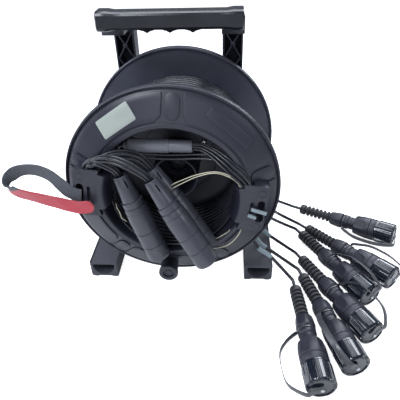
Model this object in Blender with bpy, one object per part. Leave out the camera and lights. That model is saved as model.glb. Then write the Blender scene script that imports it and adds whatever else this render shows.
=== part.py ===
"""Fibre-optic cable drum on a carrying stand, with outdoor plugs on its fan-out tails.

Units are metres, +Z is up and the front of the drum faces -Y. The origin lies on the floor, in
the middle of the stand's rear beam, and the drum turns about an axis parallel to Y at X = 0.
"""

import math

import bmesh
import bpy
from mathutils import Matrix, Vector

MM = 0.001
GAP = 0.3 * MM  # clearance between pieces that seat on each other

# Drum, turned about the Y axis at AXIS_HEIGHT
FLANGE_RADIUS = 155 * MM
RIM_CLEARANCE = 42.6 * MM  # floor to the lowest point of the flanges
AXIS_HEIGHT = FLANGE_RADIUS + RIM_CLEARANCE
FRONT_RIM_Y = -190 * MM
DRUM_WIDTH = 173 * MM  # over the two rims
REAR_RIM_Y = FRONT_RIM_Y + DRUM_WIDTH
RIM_WIDTH = 5.5 * MM  # radial width of the rolled rim outside the cone
RIM_DEPTH = 8 * MM
LIP_PROUD = 18 * MM  # how far the compartment's lip stands in front of the rim
LIP_WIDTH = 6 * MM
WALL = 3 * MM
CORE_RADIUS = 105 * MM  # outside of the tube that the cable is wound on
CORE_WALL = 3 * MM
OPENING_STEP = 1 * MM
OPENING_RADIUS = CORE_RADIUS - OPENING_STEP
FLANGE_SIDES = 36
REAR_DISH = 9 * MM  # depth of the rear flange's shallow cone
FLOOR_FROM_RIM = 95 * MM  # compartment floor behind the front rim
HUB_BOSS_RADIUS = 21 * MM
HUB_BOSS_DEPTH = 9 * MM
HUB_COLLAR_RADIUS = 35 * MM
HUB_COLLAR_DEPTH = 65 * MM

# Axle
AXLE_RADIUS = 10 * MM
AXLE_HEAD_RADIUS = 17 * MM
AXLE_HEAD_DEPTH = 6 * MM
NUT_RADIUS = 15 * MM
NUT_DEPTH = 9 * MM

# Winding
TRUNK_DIAMETER = 7.2 * MM
WINDING_TURNS = 20
TAIL_SEAT = math.radians(27)  # above level, on the right: where the tails leave the winding
WINDING_POINTS = 16  # on each turn
WINDING_SPACE = 0.8 * MM  # least space between neighbouring turns

# Stand
BEAM_DEPTH = 28 * MM
BEAM_BACK_Y = 15 * MM
BEAM_HEIGHT = 34 * MM
FOOT_INSIDE_X = 109.6 * MM
FOOT_WIDTH = 47 * MM
FOOT_HEIGHT = 33 * MM
FOOT_FRONT_Y = -171.4 * MM
FOOT_LIP = 2 * MM
POST_INSIDE_X = 69 * MM
POST_WIDTH = 32 * MM
POST_DEPTH = 28 * MM
POST_WALL = 3 * MM
ARM_TOP_Z = 408 * MM
ARM_HEIGHT = 24 * MM
GRIP_HALF_LENGTH = 98.5 * MM
GRIP_CENTRE_Y = -96 * MM
GRIP_DEPTH = 33 * MM
GRIP_BELOW_ARM = 12.5 * MM  # from the top of the arms down to the underside of the grip
GRIP_BOTTOM_Z = ARM_TOP_Z - GRIP_BELOW_ARM
GRIP_HEIGHT = 27 * MM
FINGER_PITCH = 31 * MM
FINGER_DROP = 4.5 * MM
PLATE_HEIGHT = 120 * MM
PLATE_THICKNESS = 7 * MM
PLATE_BOSS_RADIUS = 33 * MM

# Clamp plates beside the opening
CLAMP_TILT = math.radians(-6)  # turn of the drum from its level position
CLAMP_HALF_HEIGHT = 40 * MM
CLAMP_OUTER_X = 135 * MM
CLAMP_PROUD = 9 * MM  # in front of the lip
SKIRT_LEAN = 16.5  # degrees either way of the plate's middle
CLAMP_SLOT_WIDTH = 4.5 * MM
CLAMP_SLOT_HEIGHT = 27 * MM
CLAMP_HOLE_WIDTH = 10.5 * MM
CLAMP_HOLE_HEIGHT = 34 * MM

# Knob
KNOB_ORBIT = 130.5 * MM
KNOB_ANGLE = math.radians(-94.4)
KNOB_RADIUS = 13.6 * MM
KNOB_COLLAR = 14.8 * MM
KNOB_REACH = 40 * MM  # in front of the rim
KNOB_END_Y = FRONT_RIM_Y - KNOB_REACH
KNOB_PIN_RADIUS = 5 * MM

# Splitter, barrels and leads in the compartment
SPLITTER_RADIUS = 10 * MM
SPLITTER_LENGTH = 88 * MM
LEG_DIAMETER = 3.8 * MM
BARREL_LENGTH = 143 * MM
BARREL_RADIUS = 17 * MM
BARREL_MOUTH = 9.2 * MM
BARREL_BORE = 7.4 * MM

# Hook-and-loop strap
STRAP_WIDTH = 20 * MM
STRAP_THICKNESS = 2.4 * MM

# What lies in the compartment is laid out by hand for an opening of 104 mm radius. X is from the
# drum's axis, Y from the front rim, with an 18 mm lip and 17 mm barrels, and Z from the axis.
LAYOUT_RADIUS = 104

# Outdoor plugs: lengths along each plug from the boot's small end
PLUG_LOW = 13 * MM  # height of the axis at the boot's small end
PLUG_HIGH = 23 * MM  # and at the cap's end, with the plug resting on shell and cap
BOOT_LENGTH = 62 * MM
BOOT_RADIUS = 10.2 * MM
BOOT_ROOT = 7 * MM
BOOT_COLLAR = 10 * MM
BOOT_RIBS = 5
GLAND_LENGTH = 25 * MM
GLAND_RADIUS = 13.6 * MM
GROOVE_LENGTH = 4 * MM
GROOVE_RADIUS = 11.8 * MM
NECK_LENGTH = 18 * MM
CORE_PIN_RADIUS = 14 * MM
SHELL_LENGTH = 39 * MM
SHELL_RADIUS = 19.9 * MM
CAP_LENGTH = 35 * MM
CAP_RADIUS = 20.6 * MM
CAP_END_WALL = 4.5 * MM
LANYARD_WIDTH = 7 * MM
LANYARD_THICKNESS = 1.2 * MM
TAIL_DIAMETER = 5.2 * MM

BLACK = "#20232a"
SATIN = "#2f333b"
GLOSS = "#15171b"


def linear(hex_colour):
    """sRGB hex to linear RGBA."""
    parts = [int(hex_colour[i : i + 2], 16) / 255 for i in (1, 3, 5)]
    return [p / 12.92 if p <= 0.04045 else ((p + 0.055) / 1.055) ** 2.4 for p in parts] + [1.0]


def material(name, hex_colour, roughness, metallic=0.0):
    found = bpy.data.materials.get(name)
    if found:
        return found
    made = bpy.data.materials.new(name)
    made.use_nodes = True
    shader = made.node_tree.nodes["Principled BSDF"]
    shader.inputs["Base Color"].default_value = linear(hex_colour)
    shader.inputs["Roughness"].default_value = roughness
    shader.inputs["Metallic"].default_value = metallic
    return made


def moulded():
    return material("moulded_black_plastic", BLACK, 0.45)


def satin():
    return material("satin_barrel_plastic", SATIN, 0.5)


def glossy():
    return material("glossy_cap_plastic", GLOSS, 0.2)


def jacket():
    return material("cable_jacket", "#1b1d21", 0.4)


def steel():
    return material("zinc_plated_steel", "#b5b8bb", 0.3, 1.0)


def webbing():
    return material("hook_and_loop_strap", "#c8404f", 0.95)


def place(name, mesh, finish, parent=None, at=None):
    """A new object of this mesh under a parent, with its own place."""
    thing = bpy.data.objects.new(name, mesh)
    bpy.context.scene.collection.objects.link(thing)
    if not thing.data.materials:
        thing.data.materials.append(finish)
    if parent:
        thing.parent = parent
    if at is not None:
        thing.matrix_local = at
    return thing


def empty(name, at, parent=None):
    made = bpy.data.objects.new(name, None)
    bpy.context.scene.collection.objects.link(made)
    made.parent = parent
    made.matrix_local = at
    return made


def mesh_of(name, bm, smooth=30):
    bmesh.ops.remove_doubles(bm, verts=bm.verts, dist=1e-6)
    bmesh.ops.recalc_face_normals(bm, faces=bm.faces)
    mesh = bpy.data.meshes.new(name)
    bm.to_mesh(mesh)
    bm.free()
    mesh.shade_smooth()
    mesh.set_sharp_from_angle(angle=math.radians(smooth))
    return mesh


def turned(name, profile, sides, closed=False):
    """A profile of (radius, height) points spun about Z; a closed one is a ring."""
    bm = bmesh.new()
    points = [bm.verts.new((radius, 0, height)) for radius, height in profile]
    edges = [bm.edges.new(pair) for pair in zip(points, points[1:])]
    if closed:
        edges.append(bm.edges.new((points[-1], points[0])))
    bmesh.ops.spin(bm, geom=points + edges, cent=(0, 0, 0), axis=(0, 0, 1),
                   angle=math.tau, steps=sides, use_merge=True, use_duplicate=False)
    bmesh.ops.remove_doubles(bm, verts=bm.verts, dist=1e-6)
    open_edges = [edge for edge in bm.edges if edge.is_boundary]
    if open_edges:
        bmesh.ops.edgeloop_fill(bm, edges=open_edges)
    return mesh_of(name, bm)


def lofted(name, sections, smooth=30, closed=False):
    """Bridges outlines that all have the same number of points. A closed loft is a ring, and an
    open one gets both its ends filled."""
    bm = bmesh.new()
    loops = [[bm.verts.new(point) for point in section] for section in sections]
    count = len(loops[0])
    for lower, upper in zip(loops, loops[1:] + (loops[:1] if closed else [])):
        for i in range(count):
            j = (i + 1) % count
            bm.faces.new((lower[i], lower[j], upper[j], upper[i]))
    if not closed:
        bm.faces.new(loops[0])
        bm.faces.new(loops[-1])
    return mesh_of(name, bm, smooth)


def ring(radius, height, sides, ridge=0.0, flats=0):
    """A round outline at a height. Every second point may stand inwards by a ridge, or the
    outline may be cut by a number of flats."""
    points = []
    for i in range(sides):
        angle = math.tau * (i + 0.5) / sides
        reach = radius - (ridge if i % 2 else 0)
        if flats:
            sector = math.tau / flats
            off = (angle % sector) - sector / 2
            reach = min(reach, radius * math.cos(sector / 2) * 1.04 / math.cos(off))
        points.append((reach * math.cos(angle), reach * math.sin(angle), height))
    return points


def extruded(name, outline, near, far, smooth=30):
    """An outline in X and Z, drawn out along Y from near to far."""
    bm = bmesh.new()
    face = bm.faces.new([bm.verts.new((x, near, z)) for x, z in outline])
    drawn = bmesh.ops.extrude_face_region(bm, geom=[face])
    moved = [part for part in drawn["geom"] if isinstance(part, bmesh.types.BMVert)]
    bmesh.ops.translate(bm, verts=moved, vec=(0, far - near, 0))
    return mesh_of(name, bm, smooth)


def block(name, low, high):
    bm = bmesh.new()
    bmesh.ops.create_cube(bm, size=1)
    low, high = Vector(low), Vector(high)
    for vert in bm.verts:
        vert.co = Vector(low[i] + (vert.co[i] + 0.5) * (high[i] - low[i]) for i in range(3))
    return mesh_of(name, bm)


def arc(centre_x, centre_z, radius, start, end, steps):
    """Points of an arc, with angles in degrees."""
    angles = [math.radians(start + (end - start) * i / steps) for i in range(steps + 1)]
    return [(centre_x + radius * math.cos(a), centre_z + radius * math.sin(a)) for a in angles]


def combined(thing, mesh, operation, at=None):
    """Applies a Boolean of another mesh, given in the object's own space, to an object."""
    helper = bpy.data.objects.new("helper", mesh)
    bpy.context.scene.collection.objects.link(helper)
    helper.parent = thing
    helper.matrix_local = at or Matrix.Identity(4)
    bpy.context.view_layer.update()
    step = thing.modifiers.new("step", "BOOLEAN")
    step.operation = operation
    step.object = helper
    graph = bpy.context.evaluated_depsgraph_get()
    graph.update()
    result = bpy.data.meshes.new_from_object(thing.evaluated_get(graph))
    thing.modifiers.remove(step)
    thing.data = result
    bpy.data.objects.remove(helper)
    return thing


def cut(thing, mesh, at=None):
    return combined(thing, mesh, "DIFFERENCE", at)


def joined(thing, mesh, at=None):
    return combined(thing, mesh, "UNION", at)


def carried(thing, carrier):
    """Hangs an object on a carrier and leaves it where it stands."""
    thing.parent = carrier
    thing.matrix_parent_inverse = carrier.matrix_local.inverted()
    return thing


def least_gap(points, diameter, per_turn):
    """Least clear space between turns, in millimetres, measured between points of the tube."""
    least = min((p - q).length for i, p in enumerate(points) for q in points[i + per_turn // 2 :])
    return round((least - diameter) / MM, 2)


def smooth_route(points, spacing):
    """Points at an even spacing on a Catmull-Rom curve through a hand-chosen route."""
    points = [Vector(p) for p in points]
    padded = [2 * points[0] - points[1]] + points + [2 * points[-1] - points[-2]]
    fine = []
    for a, b, c, d in zip(padded, padded[1:], padded[2:], padded[3:]):
        for i in range(16):
            t = i / 16
            fine.append(0.5 * (2 * b + (c - a) * t + (2 * a - 5 * b + 4 * c - d) * t**2
                               + (3 * b - a - 3 * c + d) * t**3))
    fine.append(points[-1])
    lengths = [0.0]
    for p, q in zip(fine, fine[1:]):
        lengths.append(lengths[-1] + (q - p).length)
    count = max(4, round(lengths[-1] / spacing))
    even, k = [], 0
    for i in range(count + 1):
        want = lengths[-1] * i / count
        while k < len(fine) - 2 and lengths[k + 1] < want:
            k += 1
        share = (want - lengths[k]) / max(lengths[k + 1] - lengths[k], 1e-9)
        even.append(fine[k].lerp(fine[k + 1], min(share, 1.0)))
    return even


def tube(name, points, diameter, finish, resolution=2, parent=None):
    """A round cord along these points, with filled caps."""
    curve = bpy.data.curves.new(name, "CURVE")
    curve.dimensions = "3D"
    curve.bevel_depth = diameter / 2
    curve.bevel_resolution = resolution
    curve.use_fill_caps = True
    spline = curve.splines.new("POLY")
    spline.points.add(len(points) - 1)
    for point, co in zip(spline.points, points):
        point.co = (*co, 1)
    return place(name, curve, finish, parent)


def swept(name, route, outline, up, smooth=40):
    """An outline of (side, rise) points carried along a route; up keeps it from turning."""
    sections = []
    for i, point in enumerate(route):
        ahead = (route[min(i + 1, len(route) - 1)] - route[max(i - 1, 0)]).normalized()
        side = ahead.cross(up(i) if callable(up) else up).normalized()
        rise = side.cross(ahead)
        sections.append([point + side * a + rise * b for a, b in outline])
    return lofted(name, sections, smooth)


# The drum's own frame: local Z runs along the axle towards the back, local X stays X.
def drum_frame():
    to_back = Matrix.Rotation(math.radians(-90), 4, "X")
    return Matrix.Translation((0, 0, AXIS_HEIGHT)) @ to_back


def cone_y(radius, offset=0.0):
    """Y of the front flange's conical face at a radius, moved forwards by offset."""
    outer = FLANGE_RADIUS - RIM_WIDTH
    inner = OPENING_RADIUS + LIP_WIDTH
    share = (outer - radius) / (outer - inner)
    return FRONT_RIM_Y - LIP_PROUD * share - offset


def front_flange(drum):
    """Front flange, its proud lip and the tube that carries the winding, moulded in one."""
    f, inner = FRONT_RIM_Y, FLANGE_RADIUS - RIM_WIDTH
    lip = OPENING_RADIUS + LIP_WIDTH
    bore = CORE_RADIUS - CORE_WALL
    profile = [
        (OPENING_RADIUS + LIP_WIDTH / 3, f - LIP_PROUD),
        (lip, f - LIP_PROUD),
        (inner, f),
        (inner + RIM_WIDTH * 0.25, f + 2 * MM),
        (inner + RIM_WIDTH * 0.5, f - 0.3 * MM),
        (FLANGE_RADIUS, f + 1.5 * MM),
        (FLANGE_RADIUS, f + RIM_DEPTH),
        (FLANGE_RADIUS - WALL, f + RIM_DEPTH),
        (inner, f + WALL + 1 * MM),
        (lip, cone_y(lip) + WALL + 1 * MM),
        (CORE_RADIUS, cone_y(lip) + WALL + 2 * MM),
        (CORE_RADIUS, tube_end_y()),
        (bore, tube_end_y()),
        (bore, f - LIP_PROUD + 4 * MM),
    ]
    mesh = turned("front_flange", profile, FLANGE_SIDES, closed=True)
    return place("front_flange", mesh, moulded(), drum)


def rear_face_y():
    """Front face of the rear flange's flat middle."""
    return REAR_RIM_Y - RIM_DEPTH - REAR_DISH + 1 * MM


def tube_end_y():
    return rear_face_y() - GAP


def rear_flange(drum):
    """Dished rear flange with the bearing boss that runs on the axle."""
    inner = FLANGE_RADIUS - RIM_WIDTH
    face, back = rear_face_y(), rear_face_y() + WALL + 0.5 * MM
    bore = AXLE_RADIUS + GAP
    profile = [
        (bore, face - 12 * MM),
        (HUB_BOSS_RADIUS, face - 12 * MM),
        (HUB_BOSS_RADIUS + 2 * MM, face),
        (CORE_RADIUS + 2 * MM, face),
        (inner, face + REAR_DISH),
        (FLANGE_RADIUS, REAR_RIM_Y - RIM_DEPTH),
        (FLANGE_RADIUS, REAR_RIM_Y),
        (FLANGE_RADIUS - WALL, REAR_RIM_Y),
        (inner, back + REAR_DISH),
        (CORE_RADIUS + 2 * MM, back),
        (HUB_BOSS_RADIUS, back),
        (HUB_BOSS_RADIUS, REAR_RIM_Y + 3 * MM),
        (bore, REAR_RIM_Y + 3 * MM),
    ]
    mesh = turned("rear_flange", profile, FLANGE_SIDES, closed=True)
    return place("rear_flange", mesh, moulded(), drum)


def hub_floor(drum):
    """Bulkhead at the back of the compartment, with the second bearing boss in a deep collar."""
    bore = AXLE_RADIUS + GAP
    outside = CORE_RADIUS - CORE_WALL - GAP
    face = FRONT_RIM_Y + FLOOR_FROM_RIM
    back = face + WALL + 1 * MM
    front = face - HUB_COLLAR_DEPTH
    profile = [
        (bore, face - HUB_BOSS_DEPTH),
        (HUB_BOSS_RADIUS - 1 * MM, face - HUB_BOSS_DEPTH),
        (HUB_BOSS_RADIUS + 1 * MM, face),
        (HUB_COLLAR_RADIUS - WALL - 1 * MM, face),
        (HUB_COLLAR_RADIUS - WALL, front + 1 * MM),
        (HUB_COLLAR_RADIUS - WALL + 1 * MM, front),
        (HUB_COLLAR_RADIUS - 1 * MM, front),
        (HUB_COLLAR_RADIUS, front + 1 * MM),
        (HUB_COLLAR_RADIUS + 1 * MM, face),
        (outside, face),
        (outside, back),
        (bore, back),
    ]
    mesh = turned("hub_floor", profile, FLANGE_SIDES, closed=True)
    return place("hub_floor", mesh, moulded(), drum)


def winding_radius():
    """Of the cable's centre line at the points of its turns, whose chords clear the tube."""
    seated = CORE_RADIUS + GAP + TRUNK_DIAMETER / 2
    return seated / math.cos(math.pi / WINDING_POINTS)


def winding_run():
    """Where the first turn starts along the axle, and the step from turn to turn."""
    outside = winding_radius() + TRUNK_DIAMETER / 2
    first = cone_y(outside) + WALL + TRUNK_DIAMETER / 2 + 2 * MM
    last = rear_face_y() - TRUNK_DIAMETER / 2 - 0.5 * MM
    return first, (last - first) / WINDING_TURNS


def cable_winding(drum):
    """One unbroken layer of trunk cable, wound on the tube between the flanges."""
    radius = winding_radius()
    first, pitch = winding_run()
    points = []
    for i in range(WINDING_TURNS * WINDING_POINTS + 1):
        angle = math.tau * i / WINDING_POINTS - TAIL_SEAT
        along = first + pitch * i / WINDING_POINTS
        points.append(Vector((radius * math.cos(angle), radius * math.sin(angle), along)))
    print("winding: least gap", least_gap(points, TRUNK_DIAMETER, WINDING_POINTS), "mm")
    return tube("cable_winding", points, TRUNK_DIAMETER, jacket(), 1, drum)


def base_frame():
    """The stand's base: two hollow feet and the rear beam that joins them."""
    inside, outside = FOOT_INSIDE_X, FOOT_INSIDE_X + FOOT_WIDTH
    middle = (inside + outside) / 2
    lip, top = FOOT_LIP, FOOT_HEIGHT
    outline = [
        (inside, 0), (inside + 9 * MM, 0), (inside + 12 * MM, 1.5 * MM),
        (outside - 14 * MM, 1.5 * MM), (outside - 11 * MM, 0), (outside - 4 * MM, 0),
        (outside, 5 * MM), (outside, top), (outside - lip, top),
        (outside - lip, top - lip), (inside + lip, top - lip), (inside + lip, top),
        (inside, top),
    ]
    beam_front = BEAM_BACK_Y - BEAM_DEPTH
    beam = block("beam", (-outside, beam_front, 0), (outside, BEAM_BACK_Y, BEAM_HEIGHT))
    frame = place("base_frame", beam, moulded())
    mouth = (arc(middle, top - 9 * MM, FOOT_WIDTH / 2 - 5 * MM, 180, 360, 8)
             + [(outside - 5 * MM, top - 6 * MM), (inside + 5 * MM, top - 6 * MM)])
    for side in (1, -1):
        foot = [(side * x, z) for x, z in outline]
        joined(frame, extruded("foot", foot, FOOT_FRONT_Y, beam_front + 5 * MM))
    for side in (1, -1):
        hollow = [(side * x, z if z > 4 * MM else 4 * MM) for x, z in mouth]
        cut(frame, extruded("mouth", hollow, FOOT_FRONT_Y - 5 * MM, FOOT_FRONT_Y + 32 * MM))
    return frame


def upright(name, side):
    """Channel post with its forward arm, and X ribs in the open front of the channel."""
    inside, outside = POST_INSIDE_X, POST_INSIDE_X + POST_WIDTH
    back = BEAM_BACK_Y
    front = back - POST_DEPTH
    arm_end = GRIP_CENTRE_Y + GRIP_DEPTH / 2 + GAP
    foot_z = BEAM_HEIGHT + GAP
    side_view = [
        (back, foot_z), (back, ARM_TOP_Z - 20 * MM), (back - 14 * MM, ARM_TOP_Z - 9 * MM),
        (arm_end, ARM_TOP_Z), (arm_end, ARM_TOP_Z - ARM_HEIGHT),
        (front - 10 * MM, ARM_TOP_Z - ARM_HEIGHT), (front, ARM_TOP_Z - ARM_HEIGHT - 10 * MM),
        (front, foot_z),
    ]
    bm = bmesh.new()
    face = bm.faces.new([bm.verts.new((inside, y, z)) for y, z in side_view])
    drawn = bmesh.ops.extrude_face_region(bm, geom=[face])
    moved = [part for part in drawn["geom"] if isinstance(part, bmesh.types.BMVert)]
    bmesh.ops.translate(bm, verts=moved, vec=(POST_WIDTH, 0, 0))
    post = place(name, mesh_of(name, bm), moulded())
    left, right = inside + POST_WALL, outside - POST_WALL
    channel_top = ARM_TOP_Z - ARM_HEIGHT - 11 * MM
    cell = 42 * MM
    depth = POST_DEPTH - POST_WALL
    low = foot_z + 10 * MM
    cut(post, block("channel", (left, front - 1 * MM, low), (right, front + depth, channel_top)))
    for k in range(3):
        top = channel_top - k * cell
        for lean in (1, -1):
            start = Vector((left if lean > 0 else right, 0, top - cell))
            end = Vector((right if lean > 0 else left, 0, top))
            across = (end - start).normalized().cross(Vector((0, 1, 0))) * 1 * MM
            run = (end - start).normalized() * (1.6 + 0.3 * k + 0.2 * lean) * MM
            corners = [start - run - across, start - run + across, end + run + across,
                       end + run - across]
            rib = [(c.x, c.z) for c in corners]
            joined(post, extruded("rib", rib, front + (2 + k * 0.1 + lean * 0.2) * MM,
                                  front + depth + 1 * MM))
        boss = arc((left + right) / 2, top - cell / 2, 3.6 * MM, 10, 325, 7)
        joined(post, extruded("boss", boss, front + (0.9 + 0.15 * k) * MM, front + depth + 1.3 * MM))
    if side < 0:
        for vert in post.data.vertices:
            vert.co.x = -vert.co.x
        post.data.flip_normals()
    return post


def bearing_plate():
    """Web between the uprights whose boss holds the axle."""
    reach = POST_INSIDE_X - GAP
    half = PLATE_HEIGHT / 2
    waist = PLATE_BOSS_RADIUS + 4 * MM
    z = AXIS_HEIGHT
    outline = [
        (-reach, z - half), (-waist, z - waist), (waist, z - waist), (reach, z - half),
        (reach, z + half), (waist, z + waist), (-waist, z + waist), (-reach, z + half),
    ]
    back = BEAM_BACK_Y - 2 * MM
    plate = place("bearing_plate", extruded("plate", outline, back - PLATE_THICKNESS, back),
                  moulded())
    turned_back = Matrix.Translation((0, 0, z)) @ Matrix.Rotation(math.radians(-90), 4, "X")
    boss_front = REAR_RIM_Y + 3 * MM + GAP
    boss = turned("boss", [(0, boss_front), (PLATE_BOSS_RADIUS - 3 * MM, boss_front),
                           (PLATE_BOSS_RADIUS, back - 1 * MM), (0, back - 1 * MM)], 18)
    joined(plate, boss, turned_back)
    for side in (1, -1):
        edge = (side * reach, side * (reach - 4 * MM))
        joined(plate, block("edge", (min(edge), boss_front + 2 * MM, z - half + 2 * MM),
                            (max(edge), back - 1.5 * MM, z + half - 2 * MM)))
    bore = turned("bore", [(0, -60 * MM), (AXLE_RADIUS + GAP, -60 * MM),
                           (AXLE_RADIUS + GAP, 60 * MM), (0, 60 * MM)], FLANGE_SIDES // 2)
    return cut(plate, bore, turned_back)


def handle_grip():
    """Moulded bar with bevelled ends and finger ridges underneath."""
    half_depth, low, high = GRIP_DEPTH / 2, GRIP_BOTTOM_Z, GRIP_BOTTOM_Z + GRIP_HEIGHT
    end, taper = GRIP_HALF_LENGTH, 15 * MM

    def section(x, depth, bottom, top, drop=0.0):
        y = GRIP_CENTRE_Y
        soft = 5 * MM
        return [(x, y - depth, bottom + soft), (x, y - depth * 0.62, bottom - drop),
                (x, y + depth * 0.62, bottom - drop), (x, y + depth, bottom + soft),
                (x, y + depth, top - soft), (x, y + depth * 0.55, top),
                (x, y - depth * 0.55, top), (x, y - depth, top - soft)]

    sections = [section(-end, half_depth - 3 * MM, low + 2 * MM, high - 3 * MM),
                section(-end + 3 * MM, half_depth, low, high),
                section(-end + taper, half_depth, low, high),
                section(-end + taper + 9 * MM, half_depth - 2 * MM, low + 1.5 * MM, high - 2 * MM)]
    for k in (-1, 0, 1):
        for shift, drop in ((-0.38, 0), (0, FINGER_DROP), (0.38, 0)):
            sections.append(section((k + shift) * FINGER_PITCH, half_depth - 2 * MM,
                                    low + 1.5 * MM, high - 2 * MM, drop))
    sections += [[(-x, y, z) for x, y, z in s] for s in reversed(sections[:4])]
    return place("handle_grip", lofted("handle_grip", sections, 40), glossy())


def axle(drum):
    """Shouldered axle: its head holds the drum, its thread takes the nut behind the plate."""
    head_back = FRONT_RIM_Y + FLOOR_FROM_RIM - HUB_BOSS_DEPTH - GAP
    end = BEAM_BACK_Y - 2 * MM + NUT_DEPTH + GAP + 3 * MM
    profile = [(0, head_back - AXLE_HEAD_DEPTH),
               (AXLE_HEAD_RADIUS - 2 * MM, head_back - AXLE_HEAD_DEPTH),
               (AXLE_HEAD_RADIUS, head_back - AXLE_HEAD_DEPTH + 2 * MM),
               (AXLE_HEAD_RADIUS, head_back), (AXLE_RADIUS, head_back), (AXLE_RADIUS, end),
               (0, end)]
    return place("drum_axle", turned("drum_axle", profile, FLANGE_SIDES // 2), steel(), drum)


def axle_nut(drum):
    start = BEAM_BACK_Y - 2 * MM + GAP
    end = start + NUT_DEPTH
    sides = FLANGE_SIDES // 2
    bore = (AXLE_RADIUS + GAP) / math.cos(math.pi / sides)
    sections = [ring(bore, start, sides), ring(NUT_RADIUS, start, sides, flats=6),
                ring(NUT_RADIUS, end, sides, flats=6), ring(bore, end, sides)]
    return place("axle_nut", lofted("axle_nut", sections, closed=True), steel(), drum)


def cone_cutter(offset, reach):
    """Solid behind the flange's conical face, raised by offset: trims what sits on it."""
    inner, outer = OPENING_RADIUS - LIP_WIDTH, FLANGE_RADIUS - RIM_WIDTH
    lip = OPENING_RADIUS + LIP_WIDTH
    front = FRONT_RIM_Y - LIP_PROUD - offset
    profile = [(inner, front), (lip, front), (outer, cone_y(outer, offset)),
               (outer + reach, cone_y(outer, offset) - 2 * MM),
               (outer + reach, FRONT_RIM_Y + 40 * MM), (inner, FRONT_RIM_Y + 40 * MM)]
    return turned("cone", profile, FLANGE_SIDES * 2, closed=True)


def plate_skirt(side):
    """Skirt on a plate's inner edge, which curves back into the opening."""
    front = FRONT_RIM_Y - LIP_PROUD - CLAMP_PROUD + 0.2 * MM
    edge, back = OPENING_RADIUS - 3.5 * MM, FRONT_RIM_Y + 4 * MM
    profile = [(edge + 6 * MM, front), (edge - 4.5 * MM, front), (edge - 9 * MM, front + 7 * MM),
               (edge - 11 * MM, front + 17 * MM), (edge - 11.5 * MM, back),
               (edge - 5 * MM, back), (edge, back - 10 * MM), (edge, front + 8 * MM),
               (edge + 6 * MM, front + 8 * MM)]
    sections = []
    for i in range(6):
        angle = math.radians(SKIRT_LEAN * (i / 2.5 - 1))
        sections.append([(side * r * math.cos(angle), y, r * math.sin(angle))
                         for r, y in profile])
    return lofted("skirt", sections)


def clamp_plate(drum, name, side):
    """Plate beside the opening: it bridges the fan-out cables and anchors the strap."""
    front = FRONT_RIM_Y - LIP_PROUD - CLAMP_PROUD
    inner = OPENING_RADIUS + 1 * MM
    half, corner = CLAMP_HALF_HEIGHT, 7 * MM
    lean = math.degrees(math.asin(half / inner))
    outline = arc(0, 0, inner, -lean, lean, 6)
    rounding = arc(CLAMP_OUTER_X - corner, half - corner, corner, 90, 0, 3)
    outline += rounding + [(x, -z) for x, z in reversed(rounding)]
    outline = [(side * x, z) for x, z in outline]
    level = Matrix.Translation((0, 0, AXIS_HEIGHT)) @ Matrix.Rotation(-CLAMP_TILT, 4, "Y")
    plate = place(name, extruded(name, outline, front, FRONT_RIM_Y), moulded(), at=level)
    to_drum = Matrix.Rotation(math.radians(-90), 4, "X")
    cut(plate, cone_cutter(GAP, 12 * MM), to_drum)
    slot_x, hole_x = inner + 9 * MM, inner + 21.5 * MM
    slot_mid = -4 * MM
    for x, width, height in ((slot_x, CLAMP_SLOT_WIDTH, CLAMP_SLOT_HEIGHT),
                             (hole_x, CLAMP_HOLE_WIDTH, CLAMP_HOLE_HEIGHT)):
        r = width / 2
        reach = height / 2 - r
        shape = (arc(side * x, slot_mid + reach, r, 0, 180, 6)
                 + arc(side * x, slot_mid - reach, r, 180, 360, 6))
        cut(plate, extruded("slot", shape, front - 5 * MM, FRONT_RIM_Y + 5 * MM))
    wide = math.degrees(math.asin((half + 8 * MM) / (inner + WALL)))
    mouth, outer = inner + 21.5 * MM, CLAMP_OUTER_X - WALL
    passage = (arc(0, 0, inner + WALL, -wide, wide, 6)
               + [(mouth, half + 8 * MM), (mouth, half - WALL), (outer, half - WALL),
                  (outer, -half - 8 * MM)])
    passage = [(side * x, z) for x, z in passage]
    cut(plate, extruded("passage", passage, front + WALL, FRONT_RIM_Y + 5 * MM))
    joined(plate, plate_skirt(side))
    return carried(plate, drum)


def knob_place():
    """Where the knob's axis meets the front rim's plane."""
    return Vector((KNOB_ORBIT * math.cos(KNOB_ANGLE), 0,
                   AXIS_HEIGHT + KNOB_ORBIT * math.sin(KNOB_ANGLE)))


def knob_pin(drum):
    centre = knob_place()
    frame = Matrix.Translation(centre) @ Matrix.Rotation(math.radians(-90), 4, "X")
    seat = cone_y(KNOB_ORBIT - KNOB_RADIUS) - 2 * MM
    end = KNOB_END_Y + 8 * MM
    profile = [(0, end), (KNOB_PIN_RADIUS, end), (KNOB_PIN_RADIUS, seat),
               (KNOB_RADIUS - 1 * MM, seat), (KNOB_RADIUS - 1 * MM, FRONT_RIM_Y), (0, FRONT_RIM_Y)]
    pin = place("knob_pin", turned("knob_pin", profile, 14), moulded(), at=frame)
    to_drum = Matrix.Translation(Vector((0, 0, AXIS_HEIGHT)) - centre)
    drum_to_pin = frame.inverted() @ Matrix.Translation(centre) @ to_drum @ \
        Matrix.Rotation(math.radians(-90), 4, "X")
    cut(pin, cone_cutter(GAP, 12 * MM), drum_to_pin)
    return carried(pin, drum)


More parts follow.
